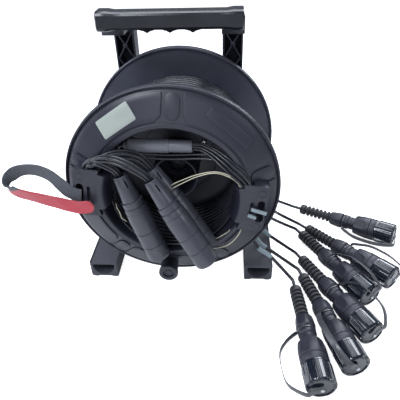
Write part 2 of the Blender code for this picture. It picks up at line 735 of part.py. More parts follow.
def knob_grip():
    centre = knob_place()
    frame = Matrix.Translation(centre) @ Matrix.Rotation(math.radians(-90), 4, "X")
    seat = cone_y(KNOB_ORBIT - KNOB_RADIUS) - 2 * MM - GAP
    bore = KNOB_PIN_RADIUS + GAP
    stop = KNOB_END_Y + 8 * MM - GAP
    profile = [(bore, seat), (KNOB_RADIUS, seat), (KNOB_RADIUS, KNOB_END_Y + 7 * MM),
               (KNOB_COLLAR, KNOB_END_Y + 5 * MM), (KNOB_COLLAR, KNOB_END_Y + 1.5 * MM),
               (KNOB_COLLAR - 2 * MM, KNOB_END_Y), (KNOB_RADIUS * 0.58, KNOB_END_Y),
               (KNOB_RADIUS * 0.5, KNOB_END_Y + 3 * MM), (0, KNOB_END_Y + 3 * MM)]
    profile = [(0, stop), (bore, stop)] + profile
    return place("knob_grip", turned("knob_grip", profile, 14), moulded(), at=frame)


def along(start, end):
    """A frame at start whose local Z points to end, with local Y kept as upright as it can."""
    ahead = (Vector(end) - Vector(start)).normalized()
    side = Vector((0, 0, 1)).cross(ahead).normalized()
    rise = ahead.cross(side)
    turn = Matrix((side, rise, ahead)).transposed().to_4x4()
    return Matrix.Translation(start) @ turn


def laid_out(points):
    """Points of the compartment's layout in their place on the drum. They follow the opening's
    edge in and out, and stand in front of the lip by their share of a barrel's radius."""
    lip = FRONT_RIM_Y - LIP_PROUD
    placed = []
    for x, y, z in points:
        grown = 1 + (OPENING_RADIUS / MM - LAYOUT_RADIUS) / max(math.hypot(x, z), LAYOUT_RADIUS)
        placed.append(Vector((x * grown * MM, lip + (y + 18) * BARREL_RADIUS / 17,
                              AXIS_HEIGHT + z * grown * MM)))
    return placed


# Inner ends in the compartment: mouth and far end of each barrel's axis
BARREL_AXES = {
    "barrel_1": laid_out([(-66.4, -25.6, 38.8), (-20, -37, -98.1)]),
    "barrel_2": laid_out([(-20.6, -45.5, 44.4), (54, -70.5, -75.6)]),
    "barrel_3": laid_out([(-24, -10, 40.9), (52.3, -35.5, -77.1)]),
}


def barrel_mesh():
    """Connector housing: slotted chuck, flatted ring, two-seam body and end cap."""
    r = BARREL_RADIUS
    sides = 12
    outer = [(BARREL_MOUTH, 0), (13.6 * MM, 38 * MM), (14.4 * MM, 39.5 * MM),
             (14.8 * MM, 47 * MM), (15.7 * MM, 48.5 * MM), (r - 0.6 * MM, 58 * MM),
             (r, 89 * MM), (r - 0.5 * MM, 90 * MM), (r, 91 * MM),
             (r, BARREL_LENGTH - 5 * MM), (r - 3 * MM, BARREL_LENGTH)]
    sections = [ring(BARREL_BORE, 9 * MM, sides), ring(BARREL_BORE, 0, sides)]
    for radius, height in outer:
        flats = 6 if 39 * MM < height < 48 * MM else 0
        sections.append(ring(radius, height, sides, flats=flats))
    return lofted("barrel", sections)


def barrels(drum):
    mesh = barrel_mesh()
    for name, axis in BARREL_AXES.items():
        carried(place(name, mesh, satin(), at=along(*axis)), drum)


SPLITTER_AXIS = laid_out([(-57, 10, 66.4), (31, 10, 64.4)])


def trunk_splitter(drum):
    """Cylinder where the trunk divides into its fan-out legs, with its small gland."""
    r, length = SPLITTER_RADIUS, SPLITTER_LENGTH
    profile = [(0, -8 * MM), (4.4 * MM, -8 * MM), (5.4 * MM, -1 * MM), (r - 1 * MM, -1 * MM),
               (r, 0), (r, 55 * MM), (r - 1.2 * MM, 56 * MM), (r - 1.4 * MM, length - 1 * MM),
               (r - 2.4 * MM, length), (0, length)]
    splitter = place("trunk_splitter", turned("trunk_splitter", profile, 12), satin(),
                     at=along(*SPLITTER_AXIS))
    return carried(splitter, drum)


TRUNK_LEAD = [(-65.5, 10, 66.6), (-68.5, 10, 66.4), (-72, 10.5, 62.5), (-73.5, 13.5, 56.5),
              (-74.5, 21, 51), (-75, 40, 49.5), (-75, 62, 49.5)]
FAN_OUT = [(32.2, 10, 64.4), (44, 8.6, 63.8), (60, 0, 59), (77, -13, 52.4), (92, -21.7, 43.9),
           (104, -23.2, 36.4), (110.8, -21.8, 31.9), (115, -19.8, 26.4),
           (119, -19.5, 14.4), (122, -19.2, -3.6)]
LEADS = {
    "barrel_1": [(-115.5, -19.4, 33.4), (-115.4, -19.6, 51.4), (-113, -22.6, 60.4),
                 (-103, -27, 65.4), (-91, -29, 65.9), (-79, -29, 57.4), (-71.5, -27.5, 48.4)],
    "barrel_2": [(-107, -25.8, 63.4), (-96, -29, 70.4), (-80, -34, 75.4), (-62, -40, 73.4),
                 (-44, -45, 65.4), (-30, -47, 55.4)],
    "barrel_3": [(-104, -26.5, 64.4), (-90, -25, 70.4), (-72, -21, 72.4), (-54, -16, 68.4),
                 (-41, -12, 59.4), (-31.5, -10.5, 49.4)],
}


def in_metres(points):
    return [Vector(point) * MM for point in points]


def lobed(legs):
    """Outline of a flat bundle of round legs that lie in two rows."""
    points = []
    wide, thick = LEG_DIAMETER * (0.5 + legs / 6), LEG_DIAMETER * 0.92
    for i in range(legs * 2):
        angle = math.tau * i / (legs * 2)
        reach = 1 if i % 2 == 0 else 0.78
        points.append((reach * wide * math.cos(angle), reach * thick * math.sin(angle)))
    return points


def bundle(name, route, legs, spacing=16 * MM):
    up = Vector((0.2, 1, 0.1))
    *route, end = route
    return swept(name, smooth_route(route, spacing) + [end], lobed(legs), up)


def fan_out_legs(drum):
    """The six legs leaving the splitter, which pass under the right clamp plate."""
    legs = place("fan_out_legs", bundle("fan_out_legs", laid_out(FAN_OUT), 6), jacket())
    return carried(legs, drum)


def barrel_leads(drum):
    """Legs coming out under the left clamp plate and looping into the barrels."""
    legs, sides = 4, 12
    lean = BARREL_BORE * math.cos(math.pi / sides) - GAP - lobed(legs)[0][0]
    bundles = []
    for name, route in LEADS.items():
        mouth, end = (Vector(p) for p in BARREL_AXES[name])
        ahead = (end - mouth).normalized()
        left = Vector((-1, 0, 0))
        left = (left - ahead * left.dot(ahead)).normalized() * lean
        ends = [mouth - ahead * MM + left, mouth + ahead * 6 * MM + left]
        bundles.append(bundle("lead", laid_out(route) + ends, legs))
    leads = place("barrel_leads", bundles[0], jacket())
    for other in bundles[1:]:
        joined(leads, other)
    return carried(leads, drum)


def trunk_lead(drum):
    start, *route = laid_out(TRUNK_LEAD)
    points = [start] + smooth_route(route, 9 * MM)
    return carried(tube("trunk_lead", points, 6.4 * MM, jacket(), 2), drum)


def hub_coil(drum):
    """Slack of the legs, coiled against the inside of the tube."""
    diameter, per_turn, turns = LEG_DIAMETER, 16, 3
    bore = CORE_RADIUS - CORE_WALL
    radius = bore * math.cos(math.pi / FLANGE_SIDES) - GAP - diameter / 2 - 0.4 * MM
    pitch = diameter + 1.2 * MM
    first = FRONT_RIM_Y + 18 * MM
    points = []
    for i in range(turns * per_turn + 1):
        angle = math.tau * i / per_turn + math.radians(100)
        points.append(Vector((radius * math.cos(angle), radius * math.sin(angle),
                              first + pitch * i / per_turn)))
    print("hub coil: least gap", least_gap(points, diameter, per_turn), "mm")
    return tube("hub_coil", points, diameter, jacket(), 1, drum)


STRAP_ROUTE = [(-124, -28.8, 7.4), (-132, -28.9, 9.4), (-141, -29.2, 15), (-151, -28.5, 27),
               (-162, -27, 38), (-178, -25, 45), (-196, -24, 46), (-212, -25, 41.5),
               (-222, -27.5, 32), (-223.5, -30, 21), (-214, -32, 14), (-200, -33, 9.5),
               (-182, -34, 5), (-160, -35, -0.5), (-142, -36, -5), (-125, -37, -7.5),
               (-106, -37, -4.5)]


def closure_strap(drum):
    """Hook-and-loop strap from the left clamp plate, its tongue lying over the plate."""
    points = smooth_route(laid_out(STRAP_ROUTE), 11 * MM)
    half, thick = STRAP_WIDTH / 2, STRAP_THICKNESS / 2
    outline = [(-half, -thick), (half, -thick), (half, thick), (-half, thick)]
    sections = []
    for i, point in enumerate(points):
        ahead = (points[min(i + 1, len(points) - 1)] - points[max(i - 1, 0)]).normalized()
        lean = 0.3 * min(max((-150 * MM - point.x) / (40 * MM), 0), 1)
        wide = Vector((0.05, -lean, 1)).normalized()
        wide = (wide - ahead * wide.dot(ahead)).normalized()
        thin = wide.cross(ahead)
        share = 0.55 if i == len(points) - 1 else 1
        sections.append([point + wide * a * share + thin * b for a, b in outline])
    strap = place("closure_strap", lofted("closure_strap", sections, 50), webbing())
    return carried(strap, drum)


# Boot start and cap end of each plug's axis, as (x, y) on the floor
PLUGS = [
    ((230.4, 19.0), (384.5, -74.4)),
    ((234.1, -46.5), (349.5, -182.4)),
    ((221.0, -63.5), (303.6, -222.4)),
    ((212.0, -132.5), (289.6, -295.9)),
    ((207.7, -175.4), (253.6, -347.2)),
    ((191.7, -202.4), (203.4, -385.0)),
]
# Turn of each lanyard about its plug, in degrees upwards from the side that is on the left hand
# when looking from boot to cap, and how far it bows out from the plug's axis in millimetres
LANYARDS = [(192, 31), (28, 30), (62, 30), (52, 40), (132, 41), (192, 44)]


def plug_stations():
    """Heights along a plug where its pieces meet."""
    gland = BOOT_LENGTH + GAP
    groove = gland + GLAND_LENGTH
    collar = groove + GROOVE_LENGTH
    neck = collar + NECK_LENGTH
    shell_end = neck + SHELL_LENGTH
    cap = shell_end + GAP
    return gland, groove, collar, neck, shell_end, cap, cap + CAP_LENGTH


def boot_mesh():
    """Ribbed bend relief."""
    sides = 8
    sections = [ring(BOOT_RADIUS - 1.6 * MM, 0, sides),
                ring(BOOT_RADIUS - 0.5 * MM, 1.5 * MM, sides),
                ring(BOOT_RADIUS - 0.5 * MM, BOOT_COLLAR, sides)]
    step = (BOOT_LENGTH - BOOT_COLLAR) / (BOOT_RIBS + 0.5)
    for k in range(BOOT_RIBS):
        base = BOOT_COLLAR + step * (k + 0.35)
        sections.append(ring(BOOT_ROOT, base, sides))
        sections.append(ring(BOOT_RADIUS, base + step * 0.5, sides))
    sections.append(ring(BOOT_ROOT + 1 * MM, BOOT_LENGTH, sides))
    return lofted("boot", sections)


def body_mesh():
    """Gland nut with flats, lanyard groove, collar, neck and the core inside the shell."""
    gland, groove, collar, neck, shell_end, cap, end = plug_stations()
    sides = 12
    sections = [
        ring(BOOT_RADIUS, gland, sides), ring(GLAND_RADIUS, gland + 3 * MM, sides, flats=6),
        ring(GLAND_RADIUS, groove - 3 * MM, sides, flats=6), ring(GROOVE_RADIUS, groove, sides),
        ring(GROOVE_RADIUS, collar, sides), ring(GLAND_RADIUS - 0.4 * MM, collar + 0.5 * MM, sides),
        ring(GLAND_RADIUS - 0.4 * MM, collar + 6 * MM, sides),
        ring(GROOVE_RADIUS, collar + 8 * MM, sides),
        ring(GROOVE_RADIUS, neck + 3.5 * MM, sides),
        ring(CORE_PIN_RADIUS, neck + 5 * MM, sides),
        ring(CORE_PIN_RADIUS, end - CAP_END_WALL - GAP, sides),
    ]
    return lofted("body", sections)


def shell_mesh():
    """Coupling shell, a sleeve with four grip flats, turning on the plug's core."""
    gland, groove, collar, neck, shell_end, cap, end = plug_stations()
    sides = 12
    r = SHELL_RADIUS
    bore, small = CORE_PIN_RADIUS + GAP + 0.5 * MM, GROOVE_RADIUS + GAP + 0.5 * MM
    rings = [(small, neck + 0.5 * MM, 0), (r - 4.5 * MM, neck + 2 * MM, 0),
             (r - 0.6 * MM, neck + 11 * MM, 4), (r, neck + 27 * MM, 4), (r, neck + 29 * MM, 0),
             (r, shell_end, 0), (bore, shell_end, 0), (bore, neck + 4 * MM, 0),
             (small, neck + 3 * MM, 0)]
    sections = [ring(radius, height, sides, flats=flats) for radius, height, flats in rings]
    return lofted("shell", sections, closed=True)


def cap_mesh():
    """Ribbed dust cap, a cup over the front of the core."""
    *_, cap, end = plug_stations()
    sides = 16
    bore = CORE_PIN_RADIUS + GAP + 0.5 * MM
    rib = 1.1 * MM
    sections = [ring(bore, end - CAP_END_WALL, sides), ring(bore, cap, sides),
                ring(CAP_RADIUS - 0.6 * MM, cap, sides),
                ring(CAP_RADIUS - 0.6 * MM, cap + 3 * MM, sides),
                ring(CAP_RADIUS, cap + 3.5 * MM, sides, ridge=rib),
                ring(CAP_RADIUS, end - 2 * MM, sides, ridge=rib),
                ring(CAP_RADIUS - 2.5 * MM, end, sides)]
    return lofted("cap", sections)


def lanyard_mesh(name, bow):
    """Flat strap from the plug's groove to the end of its cap, bowing out in local +X."""
    gland, groove, collar, neck, shell_end, cap, end = plug_stations()
    t = LANYARD_THICKNESS / 2
    start = GROOVE_RADIUS + GAP + t
    flat = end + GAP + t + 0.1 * MM
    middle = (groove + collar) / 2
    route = [(start, middle), (start + 5 * MM, middle + 1 * MM),
             (start + (bow - start) * 0.62, middle + 12 * MM), (bow, neck + 10 * MM),
             (bow + 1.5 * MM, shell_end), (bow * 0.93, cap + 22 * MM),
             (CAP_RADIUS + 1 * MM, end + 3.5 * MM), (CAP_RADIUS * 0.55, flat + 0.6 * MM),
             (0, flat), (-4 * MM, flat)]
    points = [Vector((x, 0, z)) for x, z in route]
    points = smooth_route(points, 14 * MM)
    outline = [(-LANYARD_WIDTH / 2, -t), (LANYARD_WIDTH / 2, -t), (LANYARD_WIDTH / 2, t),
               (-LANYARD_WIDTH / 2, t)]
    sections = []
    for i, point in enumerate(points):
        ahead = (points[min(i + 1, len(points) - 1)] - points[max(i - 1, 0)]).normalized()
        thin = ahead.cross(Vector((0, 1, 0)))
        sections.append([point + Vector((0, a, 0)) + thin * b for a, b in outline])
    return lofted(name, sections, 50)


TAIL_TURNS = [13, 12, 10, 8, 6, 5]  # the turn that each tail seats on, counted from the front
TAIL_FREE = [12, 10, 9, 5, 2, 2]  # degrees above level where each tail leaves the winding
TAIL_ROUTES = [
    [(131, -88, 190), (143, -72, 145), (150, -36, 92), (164, 4, 50), (190, 30, 21)],
    [(131, -100, 185), (146, -96, 130), (158, -78, 84), (180, -46, 46), (206, -36, 26)],
    [(130, -116, 180), (141, -112, 124), (151, -98, 84), (171, -72, 51), (196, -62, 27)],
    [(126, -132, 150), (131, -132, 100), (144, -129, 72), (166, -123, 48), (190, -124, 25)],
    [(119, -146, 130), (123, -146, 86), (136, -148, 62), (156, -151, 47), (182, -157, 28)],
    [(119, -160, 130), (121, -160, 84), (132, -162, 63), (153, -167, 49), (174, -178, 33)],
]


def tail_route(k, start):
    """From the winding's side down to the boot of plug k, whose frame is given."""
    reach = winding_radius() + TRUNK_DIAMETER / 2 + GAP + TAIL_DIAMETER / 2
    first, pitch = winding_run()
    y = first + pitch * TAIL_TURNS[k]
    points = []
    free = math.radians(TAIL_FREE[k])
    for angle, away in ((TAIL_SEAT, 0), ((TAIL_SEAT + free) / 2, 0.2 * MM), (free, 0.5 * MM)):
        out = reach + away
        points.append(Vector((out * math.cos(angle), y, AXIS_HEIGHT + out * math.sin(angle))))
    points += in_metres(TAIL_ROUTES[k])
    back = start.to_3x3() @ Vector((0, 0, 1))
    points.append(start.translation - back * 15 * MM)
    points.append(start.translation - back * GAP)
    return points


def plug_frames():
    frames = []
    for (x0, y0), (x1, y1) in PLUGS:
        frames.append(along((x0 * MM, y0 * MM, PLUG_LOW), (x1 * MM, y1 * MM, PLUG_HIGH)))
    return frames


def plugs():
    """Each plug's pieces share meshes and hang under one empty on the plug's axis."""
    boot, body, shell, cap = boot_mesh(), body_mesh(), shell_mesh(), cap_mesh()
    for k, frame in enumerate(plug_frames()):
        number = k + 1
        holder = empty(f"plug_{number}_axis", frame)
        place(f"plug_{number}_boot", boot, moulded(), holder)
        place(f"plug_{number}_body", body, moulded(), holder)
        place(f"plug_{number}_shell", shell, moulded(), holder)
        place(f"plug_{number}_cap", cap, glossy(), holder)
        turn, bow = LANYARDS[k]
        strap = lanyard_mesh(f"plug_{number}_lanyard", bow * MM)
        place(f"plug_{number}_lanyard", strap, moulded(), holder,
              Matrix.Rotation(math.radians(turn), 4, "Z"))
        *route, end = tail_route(k, frame)
        points = smooth_route(route, 18 * MM) + [end]
        tube(f"tail_{number}", points, TAIL_DIAMETER, jacket(), 2)


def main():
    for thing in list(bpy.data.objects):
        bpy.data.objects.remove(thing)
    drum = empty("drum_axis", drum_frame())
    front_flange(drum)
    rear_flange(drum)
    hub_floor(drum)
    cable_winding(drum)
    hub_coil(drum)
    axle(drum)
    axle_nut(drum)
    base_frame()
    upright("left_upright", -1)
    upright("right_upright", 1)
    bearing_plate()
    handle_grip()
    clamp_plate(drum, "left_clamp_plate", -1)
    clamp_plate(drum, "right_clamp_plate", 1)
    knob_pin(drum)
    knob_grip()
    barrels(drum)
    trunk_splitter(drum)
    trunk_lead(drum)
    fan_out_legs(drum)
    barrel_leads(drum)
    closure_strap(drum)
    plugs()


main()
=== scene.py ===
"""Fibre-optic cable drum on its carrying stand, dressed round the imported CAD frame.

Units are metres. The front of the drum faces -Y and its axis runs along Y at X = 0.
"""

import math

import bmesh
import bpy
from bpy.props import FloatProperty, FloatVectorProperty, IntProperty, PointerProperty
from bpy.types import Operator, Panel, PropertyGroup
from mathutils import Matrix, Vector


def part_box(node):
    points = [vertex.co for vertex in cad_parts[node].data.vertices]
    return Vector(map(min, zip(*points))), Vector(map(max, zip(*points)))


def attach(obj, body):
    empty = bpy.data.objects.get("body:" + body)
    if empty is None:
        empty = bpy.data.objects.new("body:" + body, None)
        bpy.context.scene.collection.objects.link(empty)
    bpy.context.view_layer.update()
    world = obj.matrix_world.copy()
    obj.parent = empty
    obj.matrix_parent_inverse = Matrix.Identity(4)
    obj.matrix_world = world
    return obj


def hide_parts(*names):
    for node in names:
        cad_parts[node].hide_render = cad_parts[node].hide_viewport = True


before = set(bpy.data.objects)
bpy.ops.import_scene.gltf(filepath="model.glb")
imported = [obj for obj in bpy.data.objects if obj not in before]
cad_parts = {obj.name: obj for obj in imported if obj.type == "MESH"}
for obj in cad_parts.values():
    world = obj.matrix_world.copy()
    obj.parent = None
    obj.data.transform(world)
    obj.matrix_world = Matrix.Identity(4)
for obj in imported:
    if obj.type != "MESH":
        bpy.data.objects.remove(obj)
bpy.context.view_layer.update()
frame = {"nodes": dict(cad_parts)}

bl_info = {
    "name": "Fibre-optic cable drum",
    "version": (1, 0, 0),
    "blender": (4, 5, 0),
    "location": "View3D > Sidebar > Cable drum",
    "description": "Builds a cable drum, its stand, the barrels in its hub and six outdoor plugs",
    "category": "Object",
}

MM = 0.001
FLANGE_LOW, FLANGE_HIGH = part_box("front_flange")
AXIS_Z = (FLANGE_LOW.z + FLANGE_HIGH.z) / 2
AXIS = Vector((0, 0, AXIS_Z))
LYING = Matrix.Rotation(math.radians(-90), 4, "X")  # from a part's own Z to the drum's Y
TO_BACK = Matrix.Translation(AXIS) @ LYING
RIM_Y = -190 * MM  # front rim of the drum
GAP = 0.3 * MM
STEPS = 64  # points in one turn of a wound cable
LEAVES = math.radians(27)  # where the tails leave the winding, above the drum's middle


def linear(hex_colour):
    """sRGB hex to linear RGB."""
    parts = [int(hex_colour[i : i + 2], 16) / 255 for i in (1, 3, 5)]
    return [p / 12.92 if p <= 0.04045 else ((p + 0.055) / 1.055) ** 2.4 for p in parts]


def length(name, default, description, low=0.0, high=1.0):
    return FloatProperty(name=name, description=description, default=default * MM,
                         min=low * MM, max=high * 1000 * MM, unit="LENGTH", precision=4)


def count(name, default, description, low, high):
    return IntProperty(name=name, description=description, default=default, min=low, max=high)


def colour(name, default, description):
    return FloatVectorProperty(name=name, description=description, default=linear(default),
                               subtype="COLOR", size=3, min=0.0, max=1.0)


class DrumSizes(PropertyGroup):
    """Sizes of the drum and of what it carries."""

    flange_radius: length("Flange radius", (FLANGE_HIGH.x - FLANGE_LOW.x) / 2 / MM,
                          "Outside radius of both flanges")
    tube_radius: length("Tube radius", 105, "Outside radius of the tube under the winding")
    opening_radius: length("Opening radius", 104, "Radius of the compartment's opening")
    panel_rise: length("Panel rise", 1.7, "Height of the raised panels on the front flange")
    trunk_diameter: length("Trunk cable", 7.2, "Diameter of the wound trunk cable")
    leg_diameter: length("Leg diameter", 3.8, "Diameter of the fan-out cables")
    turns: count("Turns", 20, "Turns of the winding", 5, 24)
    barrel_radius: length("Barrel radius", 17, "Outside radius of the connector barrels")
    strap_width: length("Strap width", 20, "Width of the closure strap")


class PlugSizes(PropertyGroup):
    """Sizes of the outdoor plugs."""

    tail_diameter: length("Tail diameter", 5.6, "Diameter of the free tails")
    boot_ribs: count("Boot ribs", 6, "Discs of each bend relief", 3, 9)
    boot_radius: length("Boot radius", 10.2, "Radius of the bend relief's discs")
    gland_radius: length("Gland radius", 13.6, "Radius over the corners of the gland nut")
    shell_radius: length("Shell radius", 19.9, "Outside radius of the coupling shell")
    cap_radius: length("Cap radius", 20.6, "Radius over the ribs of the dust cap")
    cap_groups: count("Cap rib groups", 8, "Groups of fine ribs round a dust cap", 4, 12)
    lanyard_width: length("Lanyard width", 8.6, "Width of the dust cap's strap")


class StandSizes(PropertyGroup):
    """Sizes of the carrying stand."""

    post_width: length("Post width", 32, "Width of each upright")
    rib_thickness: length("Rib thickness", 2, "Thickness of the cross ribs in the uprights")
    foot_width: length("Foot width", 47, "Width of each foot")
    finger_drop: length("Finger drop", 4.5, "Depth of the ridges under the grip")


class DrumColours(PropertyGroup):
    """Colours of the drum, sRGB at their source."""

    moulding: colour("Moulding", "#21222d", "Satin black mouldings")
    rear: colour("Rear flange", "#343541", "Glossy rear flange")
    frame: colour("Feet", "#373840", "Feet of the stand")
    grip: colour("Grip", "#181a20", "Glossy hand grip")
    barrel: colour("Barrels", "#36373f", "Anodised barrels")
    # the skin's own pale grey, brightened further as painted light for the shade in the
    # compartment
    splitter: colour("Splitter", "#6d6e76", "Splitter")
    cap: colour("Dust caps", "#171c26", "Polished dust caps")
    boot: colour("Boots", "#1f2026", "Rubber boots")
    lanyard: colour("Lanyards", "#3d3e42", "Straps of the dust caps")
    jacket: colour("Cable jackets", "#1f2027", "Cable jackets")
    pile: colour("Strap pile", "#b52537", "Loop pile of the closure strap")
    webbing: colour("Strap webbing", "#3a3d44", "Woven back of the closure strap")
    tether: colour("Tether cord", "#cfcab2", "Thin braided tether cords")
    sleeve: colour("Sleeves", "#7d8a90", "Shrunk sleeves on the cables")
    sticker: colour("Sticker", "#8f968f", "Bare vinyl sticker")


# Finishes


def added(tree, kind, settings=(), links=()):
    """A node of this kind with its settings and with links to its inputs."""
    made = tree.nodes.new(kind)
    for key, value in dict(settings).items():
        if isinstance(key, int) or key in made.inputs:
            made.inputs[key].default_value = value
        else:
            setattr(made, key, value)
    for key, source in dict(links).items():
        tree.links.new(source, made.inputs[key])
    return made


def started(name):
    """A new material, its tree, its shader and the coordinates that patterns read."""
    made = bpy.data.materials.new(name)
    made.use_nodes = True
    tree = made.node_tree
    where = added(tree, "ShaderNodeTexCoord")
    return made, tree, tree.nodes["Principled BSDF"], where


def tinted(tree, pattern, base, darker, lighter):
    """A colour that wanders between two shades of its base with a pattern."""
    shades = [[c * share for c in base] + [1.0] for share in (darker, lighter)]
    return added(tree, "ShaderNodeMix", {"data_type": "RGBA", "A": shades[0], "B": shades[1]},
                 {"Factor": pattern}).outputs["Result"]


def noise(tree, vector, size, detail=2.0, **more):
    """Noise whose features are about as large as size, in millimetres."""
    return added(tree, "ShaderNodeTexNoise", {"Scale": 1 / (size * MM), "Detail": detail, **more},
                 {"Vector": vector})


def ranged(tree, value, low, high, start=0.0, end=1.0):
    """Maps a value from between start and end to between low and high."""
    return added(tree, "ShaderNodeMapRange", {"From Min": start, "From Max": end,
                                              "To Min": low, "To Max": high},
                 {"Value": value}).outputs["Result"]


def bumped(tree, height, strength, depth, **more):
    """A bump of this depth in millimetres."""
    return added(tree, "ShaderNodeBump", {"Strength": strength, "Distance": depth * MM, **more},
                 {"Height": height}).outputs["Normal"]


def wired(tree, shader, links=(), **settings):
    """Feeds the shader's inputs. Underscores in the names of settings stand for spaces."""
    for key, source in dict(links).items():
        tree.links.new(source, shader.inputs[key])
    for key, value in settings.items():
        shader.inputs[key.replace("_", " ")].default_value = value


def coated(made, **settings):
    """Changes single inputs of a material that is made already."""
    wired(made.node_tree, made.node_tree.nodes["Principled BSDF"], **settings)
    return made


def moulding_finish(name, base, roughness, grain, depth, haze=0.1):
    """Injection-moulded plastic. The tool's fine spark texture breaks up its highlights, and
    cooling leaves slow differences in gloss."""
    made, tree, shader, where = started(name)
    slow = noise(tree, where.outputs["Object"], 38, 3.0).outputs["Fac"]
    fine = noise(tree, where.outputs["Object"], grain).outputs["Fac"]
    wired(tree, shader, {
        "Base Color": tinted(tree, slow, base, 0.86, 1.16),
        "Roughness": ranged(tree, slow, roughness - haze / 2, roughness + haze / 2, 0.3, 0.7),
        "Normal": bumped(tree, fine, 0.6, depth)}, IOR=1.5)
    return made


def satin_moulding(colours):
    """ABS from a textured tool: blackish, with wide soft highlights. The grain is really 0.1 mm
    and is drawn at 0.5 mm so that it shows."""
    return moulding_finish("textured_abs", colours.moulding, 0.4, 0.5, 0.04)


def gloss_moulding(colours):
    """ABS from a polished tool, on the rear flange: it mirrors the softboxes as dim patches."""
    return moulding_finish("glossy_abs", colours.rear, 0.33, 1.0, 0.03)


def foot_moulding(colours):
    """ABS of the feet, which a floor's dust and scuffs have dulled to a paler black."""
    return moulding_finish("scuffed_abs", colours.frame, 0.5, 1.2, 0.06)


def grip_moulding(colours):
    """ABS from a polished tool: sharp highlights that waver slightly."""
    return moulding_finish("polished_abs", colours.grip, 0.24, 6.0, 0.05, 0.08)


def anodised(colours):
    """Bead-blasted and anodised aluminium barrels: a dark even satin that turns pale grey where
    it faces the light. The coat hides the metal, so it's drawn as a dielectric."""
    made = moulding_finish("anodised_barrel", colours.barrel, 0.36, 0.4, 0.015, 0.06)
    return coated(made, Coat_Weight=0.15)


def shrunk_splitter(colours):
    """Splitter in a thick heat-shrunk skin: dull, and paler than the barrels, partly its own pale
    grey and partly painted light for the shade it lies in.
    """
    return moulding_finish("shrunk_splitter_skin", colours.splitter, 0.42, 1.5, 0.05)


def cap_moulding(colours):
    """Polished nylon caps: nearly black, with hard bright streaks along their ribs."""
    made = moulding_finish("polished_nylon", colours.cap, 0.16, 8.0, 0.04, 0.06)
    return coated(made, Coat_Weight=0.5, Coat_Roughness=0.08)


def shell_moulding(colours):
    """Glass-filled nylon shells: duller than ABS, with a slight speckle from the fibres."""
    return moulding_finish("glass_filled_nylon", colours.moulding, 0.46, 0.7, 0.05, 0.12)


def boot_rubber(colours):
    """Thermoplastic rubber: soft and dull, with a slight even sheen that looks a little dusty."""
    made = moulding_finish("soft_rubber", colours.boot, 0.52, 0.6, 0.04)
    return coated(made, Sheen_Weight=0.12, Sheen_Roughness=0.5)


def strap_rubber(colours):
    """Flexible strap from a polished tool: grey, with a broad sheen where it bows."""
    return moulding_finish("polished_elastomer", colours.lanyard, 0.3, 5.0, 0.04, 0.08)


def cable_jacket(colours):
    """Polyurethane jacket: smooth, with a long clean highlight, scuffed here and there."""
    made, tree, shader, where = started("polyurethane_jacket")
    scuffs = noise(tree, where.outputs["Object"], 9, 6.0, Roughness=0.7).outputs["Fac"]
    wired(tree, shader, {"Base Color": tinted(tree, scuffs, colours.jacket, 0.8, 1.35),
                         "Roughness": ranged(tree, scuffs, 0.24, 0.4, 0.35, 0.7),
                         "Normal": bumped(tree, scuffs, 0.3, 0.05)})
    return made


def plated_steel(name, tint, roughness):
    """Turned steel with a plated skin: fine rings from the tool and a cool even gleam."""
    made, tree, shader, where = started(name)
    rings = noise(tree, where.outputs["Object"], 0.6, 3.0).outputs["Fac"]
    wired(tree, shader, {"Base Color": tinted(tree, rings, linear(tint), 0.9, 1.05),
                         "Roughness": ranged(tree, rings, roughness - 0.06, roughness + 0.08),
                         "Normal": bumped(tree, rings, 0.3, 0.02)}, Metallic=1.0)
    return made


def zinc_steel(colours):
    """Zinc-plated nut: pale and slightly dull."""
    return plated_steel("zinc_plated_steel", "#b9bcbf", 0.34)


def blackened_steel(colours):
    """Oil-blackened axle: dark metal that only gleams at its edges."""
    return plated_steel("blackened_steel", "#3b3d42", 0.38)


def chromed_steel(colours):
    """Chromed screw: mirror bright."""
    return plated_steel("chromed_steel", "#e3e4e6", 0.12)


def vinyl_sticker(colours):
    """Matt laminated vinyl: pale green-grey, flat and slightly uneven."""
    return moulding_finish("matt_vinyl", colours.sticker, 0.5, 1.2, 0.02, 0.06)


def shrunk_sleeve(colours):
    """Polyolefin sleeve shrunk on a cable: grey, satin, with small ripples."""
    return moulding_finish("shrunk_polyolefin", colours.sleeve, 0.45, 3.0, 0.12)


def braided_cord(colours):
    """Thin braided polyester: off-white, with a fine lay that reads as a broken line."""
    made, tree, shader, where = started("braided_polyester")
    lay = noise(tree, where.outputs["Object"], 1.2).outputs["Fac"]
    wired(tree, shader, {"Base Color": tinted(tree, lay, colours.tether, 0.55, 1.1),
                         "Normal": bumped(tree, lay, 0.8, 0.15)}, Roughness=0.85)
    return made


def strap_fabric(name, base, pile):
    """Hook-and-loop tape. Rows of loops 0.9 mm apart give a fuzzy broken grain along the tape,
    and the woven back shows the same pitch as low ribs."""
    made, tree, shader, where = started(name)
    tape = where.outputs["UV"]
    loops = added(tree, "ShaderNodeTexVoronoi", {"Scale": 1 / (0.9 * MM), "Randomness": 0.8},
                  {"Vector": tape})
    tufts = noise(tree, tape, 2.6, 5.0, Roughness=0.75)
    height = added(tree, "ShaderNodeMath", {"operation": "ADD"},
                   {0: loops.outputs["Distance"], 1: tufts.outputs["Fac"]}).outputs["Value"]
    # painted shade and painted highlight: the colour darkens where the bump sinks in between the
    # loops and lightens on the raised loops
    painted_pit_shade = ranged(tree, height, 0.0, 1.0, 0.5, 1.4)
    wired(tree, shader, {"Base Color": tinted(tree, painted_pit_shade, base, 1.25 if pile else 1.9, 0.62),
                         "Normal": bumped(tree, height, 0.9, 0.35, invert=True)},
          Roughness=0.95, Sheen_Weight=0.35 if pile else 0.2, Sheen_Roughness=0.6)
    return made


